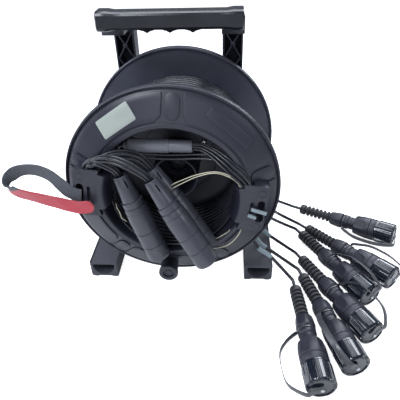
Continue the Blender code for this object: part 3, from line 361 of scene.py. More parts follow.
def loop_pile(colours):
    """Brushed nylon loops: red and fuzzy, with painted highlight on the raised loops and painted
    shade between them.
    """
    return strap_fabric("brushed_loop_pile", colours.pile, True)


def woven_back(colours):
    """Woven nylon tape: charcoal, with painted highlight on its raised filaments and painted shade
    between them.
    """
    return strap_fabric("woven_nylon_tape", colours.webbing, False)


def finish(make):
    """The one material that a function makes, made when it is first asked for."""
    key = make.__name__
    for made in bpy.data.materials:
        if made.get("finish") == key:
            return made
    made = make(bpy.context.scene.drum_colours)
    made["finish"] = key
    return made


# Modelling by hand


def let_go():
    """Leaves edit mode and deselects everything."""
    if bpy.context.mode != "OBJECT":
        bpy.ops.object.mode_set(mode="OBJECT")
    bpy.ops.object.select_all(action="DESELECT")


def only(thing):
    """Selects one object and makes it the active one."""
    let_go()
    thing.select_set(True)
    bpy.context.view_layer.objects.active = thing
    return thing


def edit(thing=None):
    """Enters edit mode, on this object or on the active one, with everything selected."""
    if thing:
        only(thing)
    bpy.ops.object.mode_set(mode="EDIT")
    bpy.ops.mesh.select_mode(type="VERT")
    bpy.ops.mesh.select_all(action="SELECT")


def pick(test):
    """Selects the vertices of the mesh in edit mode whose place passes a test."""
    bpy.ops.mesh.select_mode(type="VERT")
    bpy.ops.mesh.select_all(action="DESELECT")
    mesh = bmesh.from_edit_mesh(bpy.context.edit_object.data)
    found = [vert for vert in mesh.verts if test(vert.co)]
    if not found:
        raise RuntimeError("nothing to select on " + bpy.context.edit_object.name)
    for vert in found:
        vert.select_set(True)
    mesh.select_flush(True)
    bmesh.update_edit_mesh(bpy.context.edit_object.data)


def called(name):
    """Names the active object and its mesh."""
    let_go()
    thing = bpy.context.view_layer.objects.active
    thing.name = thing.data.name = name
    return thing


def drawn(points):
    """A chain of edges, drawn by extruding a vertex from point to point, left in edit mode."""
    let_go()
    bpy.ops.mesh.primitive_plane_add(size=MM, location=(0, 0, 0))
    edit()
    bpy.ops.mesh.merge(type="CENTER")
    bpy.ops.transform.translate(value=Vector(points[0]))
    for start, end in zip(points, points[1:]):
        step = Vector(end) - Vector(start)
        bpy.ops.mesh.extrude_region_move(TRANSFORM_OT_translate={"value": step})
    bpy.ops.mesh.select_all(action="SELECT")


def tidy_shell(thing):
    """Merges doubled points and turns the faces outwards."""
    edit(thing)
    bpy.ops.mesh.remove_doubles(threshold=1e-6)
    bpy.ops.mesh.normals_make_consistent(inside=False)
    let_go()
    return thing


def turned(name, profile, steps=96, closed=False):
    """A profile of (radius, height) in millimetres, spun about Z."""
    points = [(r * MM, 0, z * MM) for r, z in profile]
    drawn(points + points[:1] if closed else points)
    bpy.ops.mesh.spin(steps=steps, angle=math.tau, center=(0, 0, 0), axis=(0, 0, 1))
    return tidy_shell(called(name))


def slab(name, outline, near, far):
    """An outline of (x, z), filled and extruded along Y from near to far, in millimetres."""
    drawn([(x * MM, near * MM, z * MM) for x, z in outline])
    bpy.ops.mesh.edge_face_add()
    bpy.ops.mesh.extrude_region_move(
        TRANSFORM_OT_translate={"value": (0, (far - near) * MM, 0)})
    return tidy_shell(called(name))


def mirrored(outline, side):
    """An outline on the right side (1) or the left one (-1)."""
    return [(side * x, z) for x, z in outline]


def box(name, low, high):
    """A cube stretched between two corners, in millimetres."""
    let_go()
    low, high = Vector(low) * MM, Vector(high) * MM
    bpy.ops.mesh.primitive_cube_add(size=1, location=(low + high) / 2)
    edit()
    bpy.ops.transform.resize(value=high - low)
    thing = called(name)
    return down(thing)


def arc(x, z, radius, start, end, steps):
    """Points on an arc, with its angles in degrees."""
    angles = [math.radians(start + (end - start) * i / steps) for i in range(steps + 1)]
    return [(x + radius * math.cos(a), z + radius * math.sin(a)) for a in angles]


def down(thing, place=None):
    """Puts a piece in its place and applies that to its mesh."""
    only(thing)
    if place is not None:
        thing.matrix_world = place @ thing.matrix_world
    bpy.ops.object.transform_apply(location=True, rotation=True, scale=True)
    return thing


def copied(thing, name, place=None):
    """A copy with its own mesh, in its own place."""
    only(thing)
    bpy.ops.object.duplicate(linked=False)
    made = bpy.context.view_layer.objects.active
    made.name = made.data.name = name
    return down(made, place) if place is not None else made


def applied(thing, kind, **settings):
    """Adds a modifier with its settings and applies it."""
    only(thing)
    step = thing.modifiers.new("step", kind)
    for key, value in settings.items():
        setattr(step, key, value)
    bpy.ops.object.modifier_apply(modifier=step.name)
    return thing


def softened(thing, width, segments=2, angle=40):
    """Bevels the edges that turn by more than an angle; width in millimetres."""
    return applied(thing, "BEVEL", width=width * MM, segments=segments, limit_method="ANGLE",
                   angle_limit=math.radians(angle), use_clamp_overlap=True)


def combined(thing, other, operation):
    """Boolean of two closed pieces; the second one is used up."""
    applied(thing, "BOOLEAN", operation=operation, object=other, solver="EXACT")
    bpy.data.objects.remove(other)
    if not thing.data.polygons:
        raise RuntimeError(thing.name + " is empty after its Boolean")
    return thing


def less(thing, cutter):
    """Cuts one closed piece out of another."""
    return combined(thing, cutter, "DIFFERENCE")


def plus(thing, other):
    """Fuses two closed pieces."""
    return combined(thing, other, "UNION")


def together(name, things):
    """Several pieces in one object."""
    only(things[0])
    for thing in things[1:]:
        thing.select_set(True)
    bpy.ops.object.join()
    return called(name)


def bisected(thing, point, normal, keep=False, fill=False):
    """Slices a mesh with a plane; what lies outside the plane goes unless it is kept."""
    edit(thing)
    bpy.ops.mesh.bisect(plane_co=point, plane_no=normal, clear_outer=not keep, use_fill=fill)
    let_go()
    return thing


def closed_cut(thing, point, normal):
    """Cuts a closed solid with a plane and fills the cut."""
    return bisected(thing, point, normal, fill=True)


def ready(thing, body, make, nodes=(), angle=32):
    """Gives a finished piece its material and smooth shading, and hangs it on its body."""
    only(thing)
    if thing.type == "MESH":
        if not thing.data.materials:
            thing.data.materials.append(finish(make))
        bpy.ops.object.shade_smooth_by_angle(angle=math.radians(angle))
    else:
        thing.data.materials.append(finish(make))
    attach(thing, body)
    if nodes:
        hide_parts(*nodes)
    return thing


# Routes and cables


def even_route(points, spacing):
    """Evenly spaced points on a Catmull-Rom curve through a route."""
    points = [Vector(p) for p in points]
    padded = [2 * points[0] - points[1]] + points + [2 * points[-1] - points[-2]]
    fine = []
    for a, b, c, d in zip(padded, padded[1:], padded[2:], padded[3:]):
        for i in range(16):
            t = i / 16
            fine.append(0.5 * (2 * b + (c - a) * t + (2 * a - 5 * b + 4 * c - d) * t**2
                               + (3 * b - a - 3 * c + d) * t**3))
    fine.append(points[-1])
    reach = [0.0]
    for p, q in zip(fine, fine[1:]):
        reach.append(reach[-1] + (q - p).length)
    steps = max(4, round(reach[-1] / spacing))
    even, k = [], 0
    for i in range(steps + 1):
        want = reach[-1] * i / steps
        while k < len(fine) - 2 and reach[k + 1] < want:
            k += 1
        share = (want - reach[k]) / max(reach[k + 1] - reach[k], 1e-9)
        even.append(fine[k].lerp(fine[k + 1], min(share, 1.0)))
    return even


def heading(points, i):
    """The direction of a route at its point i."""
    return (points[min(i + 1, len(points) - 1)] - points[max(i - 1, 0)]).normalized()


def rounded_end(half, left, least):
    """Half the width of a strap that ends in a half circle, at a distance left from its end."""
    if left >= half:
        return half
    return max(math.sqrt(max(half**2 - (half - left) ** 2, 0)), least)


def linked(name, data):
    """An object for a mesh or curve, in the scene."""
    thing = bpy.data.objects.new(name, data)
    bpy.context.scene.collection.objects.link(thing)
    return thing


def run_length(points):
    """Length of a route."""
    return sum((q - p).length for p, q in zip(points, points[1:]))


def cable(name, routes, diameter, rounds=3):
    """Round cables along their routes, one spline each, in one curve."""
    curve = bpy.data.curves.new(name, "CURVE")
    curve.dimensions = "3D"
    curve.bevel_depth = diameter / 2
    curve.bevel_resolution = rounds
    curve.use_fill_caps = True
    for route in routes:
        spline = curve.splines.new("POLY")
        spline.points.add(len(route) - 1)
        for point, place in zip(spline.points, route):
            point.co = (*place, 1)
        spline.use_smooth = True
    return linked(name, curve)


def meshed(thing):
    """Turns a curve into a mesh."""
    name = thing.name
    only(thing)
    bpy.ops.object.convert(target="MESH")
    thing = bpy.context.view_layer.objects.active
    thing.name = thing.data.name = name
    return thing


def strand(route, side, rise, spread, up=(0.2, 1, 0.1)):
    """A route moved sideways and upwards out of its bundle's middle, more so half-way along."""
    moved = []
    for i, point in enumerate(route):
        ahead = heading(route, i)
        across = ahead.cross(Vector(up)).normalized()
        above = across.cross(ahead)
        share = 1 + spread * math.sin(math.pi * i / (len(route) - 1)) ** 2
        moved.append(point + (across * side + above * rise) * share * MM)
    return moved


def in_drum(points):
    """Points of the compartment, in millimetres from the axis and from the front rim."""
    return [Vector((x * MM, RIM_Y + y * MM, AXIS_Z + z * MM)) for x, y, z in points]


def along(start, end):
    """A frame at start whose Z points to end and whose Y stays as upright as it can."""
    ahead = (Vector(end) - Vector(start)).normalized()
    side = Vector((0, 0, 1)).cross(ahead).normalized()
    turn = Matrix((side, ahead.cross(side), ahead)).transposed().to_4x4()
    return Matrix.Translation(start) @ turn


CONE_OUT, CONE_SLOPE = 149.5, 18 / 39.5


def cone_y(radius):
    """Y of the front flange's conical face at a radius, all in millimetres."""
    return RIM_Y / MM - CONE_SLOPE * (CONE_OUT - radius)


def cone_cutter(place):
    """Solid that stands for the front flange, 0.3 mm in front of it, to trim what sits on it."""
    return down(turned("cone", [(98, -208.3), (110, -208.3), (CONE_OUT, -190.3), (167, -192.3),
                                (167, -150), (98, -150)], 144, closed=True), place)


def on_cone(radius, degrees, turn=0.0):
    """A frame on the front flange's cone: X round the drum, Y outwards and Z off the face."""
    angle = math.radians(degrees)
    out = Vector((math.cos(angle), 0, math.sin(angle)))
    up = (out + Vector((0, CONE_SLOPE, 0))).normalized()
    off = (out * CONE_SLOPE - Vector((0, 1, 0))).normalized()
    place = out * radius * MM + Vector((0, cone_y(radius) * MM, AXIS_Z))
    turned_to = Matrix((up.cross(off), up, off)).transposed().to_4x4()
    return Matrix.Translation(place) @ turned_to @ Matrix.Rotation(math.radians(turn), 4, "Z")


# Stage

CAMERA_PLACE, CAMERA_LENS = (0.08003, -0.70142, 0.54054), 38.65
CAMERA_YAW, CAMERA_PITCH, CAMERA_ROLL = (math.radians(a) for a in (-4.519, 35.147, -1.925))


def lamp(name, place, aim, size, power, tall=None):
    """A cool rectangular softbox; sizes in metres, power in watts."""
    bpy.ops.object.light_add(type="AREA", location=place)
    thing = bpy.context.object
    thing.name = name
    thing.rotation_euler = (Vector(aim) - Vector(place)).to_track_quat("-Z", "Y").to_euler()
    thing.data.shape = "RECTANGLE"
    thing.data.size = size
    thing.data.size_y = tall or size
    thing.data.energy = power
    thing.data.color = (0.87, 0.92, 1.0)


class DRUM_OT_stage(Operator):
    """Camera, softboxes and the white floor"""

    bl_idname = "cable_drum.stage"
    bl_label = "Stage"

    def execute(self, context):
        let_go()
        ahead = Vector((math.sin(CAMERA_YAW) * math.cos(CAMERA_PITCH),
                        math.cos(CAMERA_YAW) * math.cos(CAMERA_PITCH), -math.sin(CAMERA_PITCH)))
        right = Vector((math.cos(CAMERA_YAW), -math.sin(CAMERA_YAW), 0))
        over = right.cross(ahead)
        c, s = math.cos(CAMERA_ROLL), math.sin(CAMERA_ROLL)
        frame_of = Matrix((c * right + s * over, -s * right + c * over, -ahead)).transposed()
        bpy.ops.object.camera_add(location=CAMERA_PLACE, rotation=frame_of.to_euler())
        camera = context.object
        camera.data.lens = CAMERA_LENS
        camera.data.sensor_width = 36
        camera.data.clip_start = 0.01
        context.scene.camera = camera
        context.scene.view_settings.view_transform = "Standard"

        lamp("key_softbox", (-0.75, -0.95, 1.55), (0.0, -0.15, 0.2), 0.7, 24)
        lamp("top_softbox", (0.1, 0.35, 1.5), (0.05, -0.1, 0.25), 1.1, 18)
        lamp("right_softbox", (1.25, -0.75, 0.95), (0.15, -0.15, 0.15), 0.6, 4)
        lamp("left_strip", (-1.1, -0.1, 0.6), (-0.1, -0.1, 0.2), 0.35, 8, tall=1.1)
        lamp("front_fill", (0.05, -1.5, 0.75), (0.0, 0.0, 0.2), 1.0, 4.5)
        lamp("rim_strip", (0.75, 0.7, 0.85), (0.25, -0.1, 0.1), 0.35, 9, tall=0.9)

        world = bpy.data.worlds.new("studio")
        context.scene.world = world
        world.use_nodes = True
        tree = world.node_tree
        tree.nodes.clear()
        soft = added(tree, "ShaderNodeBackground",
                     {"Color": (0.84, 0.9, 1, 1), "Strength": 0.27})
        seen = added(tree, "ShaderNodeBackground", {"Color": (1, 1, 1, 1), "Strength": 1.0})
        paths = added(tree, "ShaderNodeLightPath")
        direct = added(tree, "ShaderNodeMath", {"operation": "MAXIMUM"},
                       {0: paths.outputs["Is Camera Ray"],
                        1: paths.outputs["Is Transmission Ray"]})
        mix = added(tree, "ShaderNodeMixShader", {}, {0: direct.outputs[0],
                                                      1: soft.outputs[0], 2: seen.outputs[0]})
        added(tree, "ShaderNodeOutputWorld", {}, {0: mix.outputs[0]})

        let_go()
        bpy.ops.mesh.primitive_circle_add(vertices=96, radius=5, fill_type="NGON",
                                          location=(0, 0, -0.0004))
        floor = called("studio_floor")
        floor.data.materials.append(self.white_floor())
        return {"FINISHED"}

    def white_floor(self):
        """Pale paper sweep: it keeps the object's shadow and shows as white to the camera."""
        made, tree, shader, where = started("paper_sweep")
        fibres = noise(tree, where.outputs["Object"], 4).outputs["Fac"]
        paths = added(tree, "ShaderNodeLightPath")
        glow = added(tree, "ShaderNodeMath", {"operation": "MULTIPLY", 1: 0.85},
                     {0: paths.outputs["Is Camera Ray"]})
        wired(tree, shader, {"Base Color": tinted(tree, fibres, [1, 1, 1], 0.84, 0.87),
                             "Emission Strength": glow.outputs[0]},
              Roughness=0.9, Emission_Color=(1, 1, 1, 1))
        return made


# Drum


FIRST_OVAL, BETWEEN_OVALS = 86, 72  # degrees round the front flange


def bead(radius, y):
    """Profile of a flange's rolled rim: a groove, a bead and two fine ridges on its outside."""
    def at(r, d):
        return (radius - 155 + r, y + d)

    return [at(149.3, 0.2), at(149.9, 1.5), at(150.7, 1.9), at(151.3, 1.1), at(151.8, -0.1),
            at(152.7, -0.5), at(153.8, -0.2), at(154.7, 0.8), at(155, 1.9), at(155, 3.0),
            at(154.4, 3.3), at(154.4, 3.8), at(155, 4.1), at(155, 5.0), at(154.4, 5.3),
            at(154.4, 5.8), at(155, 6.1), at(155, 7.6), at(154.6, 8.0), at(152.2, 8.0)]


class DRUM_OT_front_flange(Operator):
    """Front flange with its lip, rolled rim and the tube under the winding"""

    bl_idname = "cable_drum.front_flange"
    bl_label = "Front flange"

    def execute(self, context):
        sizes = context.scene.drum_sizes
        radius = sizes.flange_radius / MM
        tube, opening = sizes.tube_radius / MM, sizes.opening_radius / MM
        y = RIM_Y / MM
        edge = opening + 6.4
        profile = [
            (tube - 3, y - 12), (tube - 2.4, y - 15.2), (opening, y - 17.2),
            (opening + 1.4, y - 18),
        ] + [(r, cone_y(r) + sunk) for r, sunk in (
            (edge, 0), (edge + 0.7, 0.1), (edge + 1.1, 0.6), (edge + 1.7, 0.6), (edge + 2.1, 0),
            (130, 0), (148.7, 0))] + bead(radius, y) + [
            (149.5, y + 4), (opening + 6, y - 14), (tube, y - 13), (tube, -33.3),
            (tube - 3, -33.3),
        ]
        flange = down(turned("flange_front", profile, 180, closed=True), TO_BACK)
        ready(flange, "drum", satin_moulding, ["front_flange"], 25)

        panels = self.panels(sizes.panel_rise / MM)
        ovals = []
        for k in range(5):
            angle = FIRST_OVAL + BETWEEN_OVALS * k
            oval = slab("oval", arc(0, 8, 9.4, 0, 180, 16) + arc(0, -8, 9.4, 180, 360, 16),
                        0, 1.4)
            down(oval, Matrix.Rotation(math.radians(90), 4, "X"))
            softened(oval, 0.35)
            ovals.append(down(oval, on_cone(131, angle)
                              @ Matrix.Translation((0, 0, 0.5 * MM))))
        raised = together("flange_panels", panels + ovals)
        ready(raised, "drum", satin_moulding, ())
        self.plates(flange)
        return {"FINISHED"}

    def panels(self, rise):
        """Five raised fields between the ovals: a strip of the cone, trimmed along the ovals'
        channels and chamfered at its inner corners."""
        channel, chamfer, inside = 14, 7, 112.8
        made = []
        for k in range(5):
            low, high = (FIRST_OVAL + BETWEEN_OVALS * i for i in (k, k + 1))
            start = math.radians(low)
            line = [(r * math.cos(start) * MM, cone_y(r) * MM, AXIS_Z + r * math.sin(start) * MM)
                    for r in (113.6, 120, 130, 140, 147.2)]
            drawn(line)
            bpy.ops.mesh.spin(steps=36, angle=math.radians(BETWEEN_OVALS), center=AXIS,
                              axis=(0, 1, 0))
            field = called("field")
            for degrees, sign in ((low, 1), (high, -1)):
                angle = math.radians(degrees)
                out = Vector((math.cos(angle), 0, math.sin(angle)))
                side = Vector((-math.sin(angle), 0, math.cos(angle))) * sign
                bisected(field, AXIS + side * channel * MM, -side)
                corner = (out + side).normalized()
                reach = (channel + chamfer + inside) / math.sqrt(2)
                bisected(field, AXIS + corner * reach * MM, -corner)
            edit(field)
            bpy.ops.mesh.remove_doubles(threshold=1e-5)
            bpy.ops.mesh.normals_make_consistent(inside=False)
            let_go()
            if sum(face.normal.y * face.area for face in field.data.polygons) > 0:
                edit(field)
                bpy.ops.mesh.flip_normals()
                let_go()
            applied(field, "SOLIDIFY", thickness=(rise + 0.4) * MM, offset=(rise - 0.4)
                    / (rise + 0.4), use_even_offset=True)
            made.append(softened(field, 0.5, 2, 50))
        return made

    def plates(self, flange):
        """The bare sticker and the bare moulded plate, wrapped on the cone."""
        for name, radius, degrees, turn, wide, tall, corner, rise, make in (
            ("sticker", 129.0, 120.3, 3.6, 53, 26, 2.2, 1.85, vinyl_sticker),
            ("moulded_plate", 129.8, 51.3, -2.3, 71, 15, 2.5, 3.1, satin_moulding),
        ):
            let_go()
            bpy.ops.mesh.primitive_plane_add(size=1)
            edit()
            bpy.ops.transform.resize(value=(wide * MM, tall * MM, 1))
            bpy.ops.mesh.bevel(offset=corner * MM, segments=5, affect="VERTICES")
            piece = called(name)
            for i in range(1, 16):
                bisected(piece, ((i / 16 - 0.5) * wide * MM, 0, 0), (1, 0, 0), keep=True)
            for i in range(1, 4):
                bisected(piece, (0, (i / 4 - 0.5) * tall * MM, 0), (0, 1, 0), keep=True)
            down(piece, on_cone(radius, degrees, turn) @ Matrix.Translation((0, 0, 3.5 * MM)))
            applied(piece, "SHRINKWRAP", target=flange, wrap_method="NEAREST_SURFACEPOINT",
                    wrap_mode="ABOVE_SURFACE", offset=rise * MM)
            applied(piece, "SOLIDIFY", thickness=(rise + 0.2) * MM, offset=-1,
                    use_even_offset=True)
            tidy_shell(piece)
            softened(piece, 0.12 if make is vinyl_sticker else 0.45, 2, 50)
            ready(piece, "drum", make, ())


class DRUM_OT_rear_flange(Operator):
    """Dished rear flange with its bearing boss and the ribs on its back"""

    bl_idname = "cable_drum.rear_flange"
    bl_label = "Rear flange"

    def execute(self, context):
        sizes = context.scene.drum_sizes
        tube = sizes.tube_radius / MM
        profile = [
            (10.3, -44.6), (10.7, -45), (20.4, -45), (21, -44.4), (22.8, -34), (24, -33),
            (tube + 2, -33), (tube + 6, -32.3), (146, -24.9),
        ] + bead(sizes.flange_radius / MM, -25) + [
            (151.5, -18), (149.5, -20.5), (tube + 2, -29.5), (22, -29.5), (21, -28.5),
            (21, -14.6), (20.4, -14), (10.8, -14), (10.3, -14.5),
        ]
        flange = down(turned("flange_rear", profile, 180, closed=True), TO_BACK)
        ready(flange, "drum", gloss_moulding, ["rear_flange"], 25)
        rib = slab("rib", [(20, -29.8), (20, -18), (30, -23.5), (100, -26), (104, -29.8)],
                   -1, 1)
        softened(rib, 0.3, 1)
        down(rib, TO_BACK)
        ribs = [rib]
        for k in range(1, 12):
            spin = (Matrix.Translation(AXIS) @ Matrix.Rotation(math.tau * k / 12, 4, "Y")
                    @ Matrix.Translation(-AXIS))
            ribs.append(copied(rib, "rib", spin))
        ready(together("flange_rear_ribs", ribs), "drum", satin_moulding, ())
        return {"FINISHED"}


class DRUM_OT_hub_floor(Operator):
    """Floor of the compartment with its boss and screw"""

    bl_idname = "cable_drum.hub_floor"
    bl_label = "Compartment floor"

    def execute(self, context):
        tube = context.scene.drum_sizes.tube_radius / MM
        profile = [
            (10.3, -103.6), (10.7, -104), (19.2, -104), (20, -103.2), (21.6, -102), (22.6, -101.6),
            (30.6, -101.6), (31, -102), (31.9, -158.8), (32.3, -159.7), (33, -160), (34, -160),
            (34.7, -159.7), (35.1, -158.8), (35.9, -95.6), (36.6, -95), (60, -95), (60.6, -94.4),
            (62, -94.4), (62.6, -95), (88, -95), (89, -95.6), (tube - 3.4, -95.6),
            (tube - 3.3, -91), (10.3, -91),
        ]
        floor = down(turned("compartment_floor", profile, 120, closed=True), TO_BACK)
        ready(floor, "drum", satin_moulding, ["hub_floor"])
        head = turned("screw", [(0, -3.1), (1.4, -3.0), (2.8, -2.5), (3.8, -1.4), (4.2, 0),
                                (4.2, 0.6), (0, 0.6)], 32)
        for spin in (0, 90):
            slot = box("slot", (-2.6, -0.45, -4), (2.6, 0.45, -2))
            less(head, down(slot, Matrix.Rotation(math.radians(spin), 4, "Z")))
        down(head, Matrix.Translation((41.5 * MM, -95.4 * MM, AXIS_Z + 28 * MM)) @ LYING)
        ready(head, "drum", chromed_steel, ())
        return {"FINISHED"}


def winding():
    """Radius of the wound cable's middle line and of its outside, the middle of its first turn,
    and its pitch, with room for a cable's half at both flanges."""
    sizes = bpy.context.scene.drum_sizes
    half = sizes.trunk_diameter / 2
    radius = (sizes.tube_radius + GAP + half) / math.cos(math.pi / 16)
    first = cone_y((radius + half) / MM) * MM + 5 * MM + half
    last = -33.5 * MM - half
    return radius, radius + half, first, (last - first) / sizes.turns


class DRUM_OT_winding(Operator):
    """Trunk cable wound on the tube, and the slack coiled inside the compartment"""

    bl_idname = "cable_drum.winding"
    bl_label = "Winding"

    def execute(self, context):
        sizes = context.scene.drum_sizes
        radius, _, first, pitch = winding()
        route = []
        for i in range(sizes.turns * STEPS + 1):
            angle = math.tau * i / STEPS - LEAVES
            route.append(Vector((radius * math.cos(angle), first + pitch * i / STEPS,
                                 AXIS_Z - radius * math.sin(angle))))
        wound = meshed(cable("trunk_winding", [route], sizes.trunk_diameter))
        ready(wound, "drum", cable_jacket, ["cable_winding"], 60)

        leg = sizes.leg_diameter
        bore = (sizes.tube_radius - 3 * MM) * math.cos(math.pi / 36)
        reach = bore - GAP - leg / 2 - 0.4 * MM
        coils = [self.coil(reach, -172, 8.6, 8, 0), self.coil(reach, -203, 7.6, 4, 44)]
        slack = meshed(cable("slack_coil", coils, leg, 2))
        ready(slack, "drum", cable_jacket, ["hub_coil"], 60)
        return {"FINISHED"}

    def coil(self, reach, start, pitch, turns, slip):
        """Turns against the tube's wall. Those that have slipped forwards at their bottom cross
        the others further in at their sides, and pass inside the trunk's lead."""
        points = []
        for i in range(turns * STEPS + 1):
            angle = math.tau * i / STEPS + math.radians(100)
            lead = math.degrees(angle) % 360 - 213
            inwards = 4.4 * min(1 - math.sin(angle), 1) + 9 * math.exp(-((lead / 25) ** 2))
            r = reach - (inwards * MM if slip else 0)
            y = start + pitch * i / STEPS + slip * (1 - math.sin(angle)) / 2
            points.append(Vector((r * math.cos(angle), y * MM, AXIS_Z - r * math.sin(angle))))
        return points


class DRUM_OT_axle(Operator):
    """Shouldered axle and its locking nut"""

    bl_idname = "cable_drum.axle"
    bl_label = "Axle and nut"

    def execute(self, context):
        profile = [(0, -108.9), (6, -108.9), (6.6, -109.6), (7, -110.3), (14.6, -110.3),
                   (16.2, -109.5), (17, -107.9), (17, -104.8), (16.6, -104.3), (10, -104.3),
                   (10, 24.2), (8.8, 25.3), (0, 25.3)]
        bolt = down(turned("axle_bolt", profile, 64), TO_BACK)
        ready(bolt, "stand", blackened_steel, ["drum_axle"])
        nut = turned("axle_locknut", [(10.3, 13.3), (15, 13.3), (15, 22.3), (10.3, 22.3)], 48,
                     closed=True)
        for k in range(6):
            side = box("side", (13.2, -20, 0), (24, 20, 40))
            less(nut, down(side, Matrix.Rotation(math.tau * (k + 0.5) / 6, 4, "Z")))
        softened(nut, 0.5)
        ready(down(nut, TO_BACK), "stand", zinc_steel, ["axle_nut"])
        return {"FINISHED"}


class DRUM_OT_clamp_plates(Operator):
    """Plates beside the opening that bridge the cables and anchor the strap"""

    bl_idname = "cable_drum.clamp_plates"
    bl_label = "Clamp plates"

    def execute(self, context):
        for side, name, node in ((-1, "plate_left", "left_clamp_plate"),
                                 (1, "plate_right", "right_clamp_plate")):
            plate = self.plate(context.scene.drum_sizes, name, side)
            ready(plate, "drum", satin_moulding, [node], 35)
        return {"FINISHED"}

    def plate(self, sizes, name, side):
        inner = sizes.opening_radius / MM + 1
        front, half, top, corner, outer = -217, 40, 36.5, 7, 135
        low, high = (math.degrees(math.asin(reach / inner)) for reach in (half, top))
        outline = arc(0, 0, inner, -low, high, 16)
        outline += arc(outer - corner, top - corner, corner, 90, 0, 8)
        outline += arc(outer - corner, corner - half, corner, 0, -90, 8)
        plate = slab(name, mirrored(outline, side), front, RIM_Y / MM)
        level = Matrix.Translation(AXIS) @ Matrix.Rotation(math.radians(6), 4, "Y")
        less(plate, cone_cutter(LYING))
        wide = math.degrees(math.asin((half + 8) / (inner + 3)))
        mouth = inner + 8
        passage = (arc(0, 0, inner + 3, -wide, 15.5, 16)
                   + [(inner - 10, 29), (inner - 10, half), (mouth, half), (mouth, top - 3),
                      (outer - 3, top - 3), (outer - 3, -half - 8)])
        less(plate, slab("passage", mirrored(passage, side), front + 3, -185))
        for x, width, height in ((inner + 9, 4.5, 27), (inner + 21.5, 10.5, 34)):
            r, reach = width / 2, height / 2 - width / 2
            shape = (arc(side * x, -4 + reach, r, 0, 180, 12)
                     + arc(side * x, -4 - reach, r, 180, 360, 12))
            less(plate, slab("slot", shape, -225, -200))
        foot = arc(side * (inner + 21.5), -17.5, 6.3, 0, 345, 23)
        less(plate, slab("foot", foot, -225, -200))
        for z in (25, -31):
            mark = turned("mark", [(5.1, front - 1), (5.7, front - 1), (5.7, front + 0.45),
                                   (5.1, front + 0.45)], 32, closed=True)
            down(mark, Matrix.Translation((side * (inner + 21) * MM, 0, z * MM)) @ LYING)
            less(plate, mark)
        softened(plate, 0.9, 3, 50)
        down(plate, level)
        return plus(plate, self.skirt(side, inner, front, level))

    def skirt(self, side, inner, front, level):
        """Smooth wall that rolls over the opening's edge and down into the tube."""
        edge, back = inner - 4.5, -186
        wall = turned("skirt", [
            (inner + 1.5, front + 0.25), (edge - 2.6, front + 0.25), (edge - 4.2, front + 0.9),
            (edge - 6.2, front + 2.9), (edge - 8.2, front + 6.4), (edge - 9.8, front + 11),
            (edge - 10.8, front + 17), (edge - 11.3, front + 24), (edge - 11.5, back - 0.6),
            (edge - 11.1, back), (edge - 5, back), (edge, back - 10), (edge, front + 8),
            (inner + 1.5, front + 8)], 180, closed=True)
        down(wall, LYING)
        lean = math.radians(16.5)
        for rise in (1, -1):
            closed_cut(wall, (0, 0, 0), (-math.sin(lean) * side, 0, math.cos(lean) * rise))
        tidy_shell(wall)
        softened(wall, 0.7, 3, 60)
        return down(wall, level)


class DRUM_OT_knob(Operator):
    """Crank knob and the stem it turns on"""

    bl_idname = "cable_drum.knob"
    bl_label = "Crank knob"

    def execute(self, context):
        reach, angle, widest = 130.5, math.radians(-94.4), 13.6
        place = AXIS + Vector((math.cos(angle), 0, math.sin(angle))) * reach * MM
        frame_of = Matrix.Translation(place) @ LYING
        seat = cone_y(reach - widest) - 2
        stem = turned("knob_stem", [(0, -222.3), (4.4, -222.3), (5, -221.7), (5, seat),
                                    (12.2, seat), (12.6, seat + 0.4), (13.4, -190), (0, -190)], 48)
        less(down(stem, frame_of), cone_cutter(TO_BACK))
        ready(stem, "drum", satin_moulding, ["knob_pin"])
        end = -230
        profile = [(0, -221.8), (5.3, -221.8), (5.3, seat - 0.3), (13.2, seat - 0.3),
                   (widest, seat - 0.9), (widest, end + 7.4), (14.0, end + 6.6), (14.7, end + 6.0),
                   (14.8, end + 5.4), (14.8, end + 2.0), (14.3, end + 0.7), (13.2, end),
                   (9.4, end), (8.6, end + 0.5), (8.2, end + 1.6), (8.0, end + 3.2),
                   (5.2, end + 3.2), (4.8, end + 2.4), (2.0, end + 2.2), (0, end + 2.2)]
        knob = turned("knob_barrel", profile, 72)
        for k in range(6):
            notch = box("notch", (4.4, -0.6, end - 1), (8.3, 0.6, end + 2.6))
            less(knob, down(notch, Matrix.Rotation(math.tau * k / 6, 4, "Z")))
        down(knob, frame_of)
        ready(knob, "knob", satin_moulding, ["knob_grip"])
        return {"FINISHED"}


BARREL_AXES = {
    "barrel_1": in_drum([(-66.4, -25.6, 38.8), (-20, -37, -98.1)]),
    "barrel_2": in_drum([(-20.6, -45.5, 44.4), (54, -70.5, -75.6)]),
    "barrel_3": in_drum([(-24, -10, 40.9), (52.3, -35.5, -77.1)]),
}


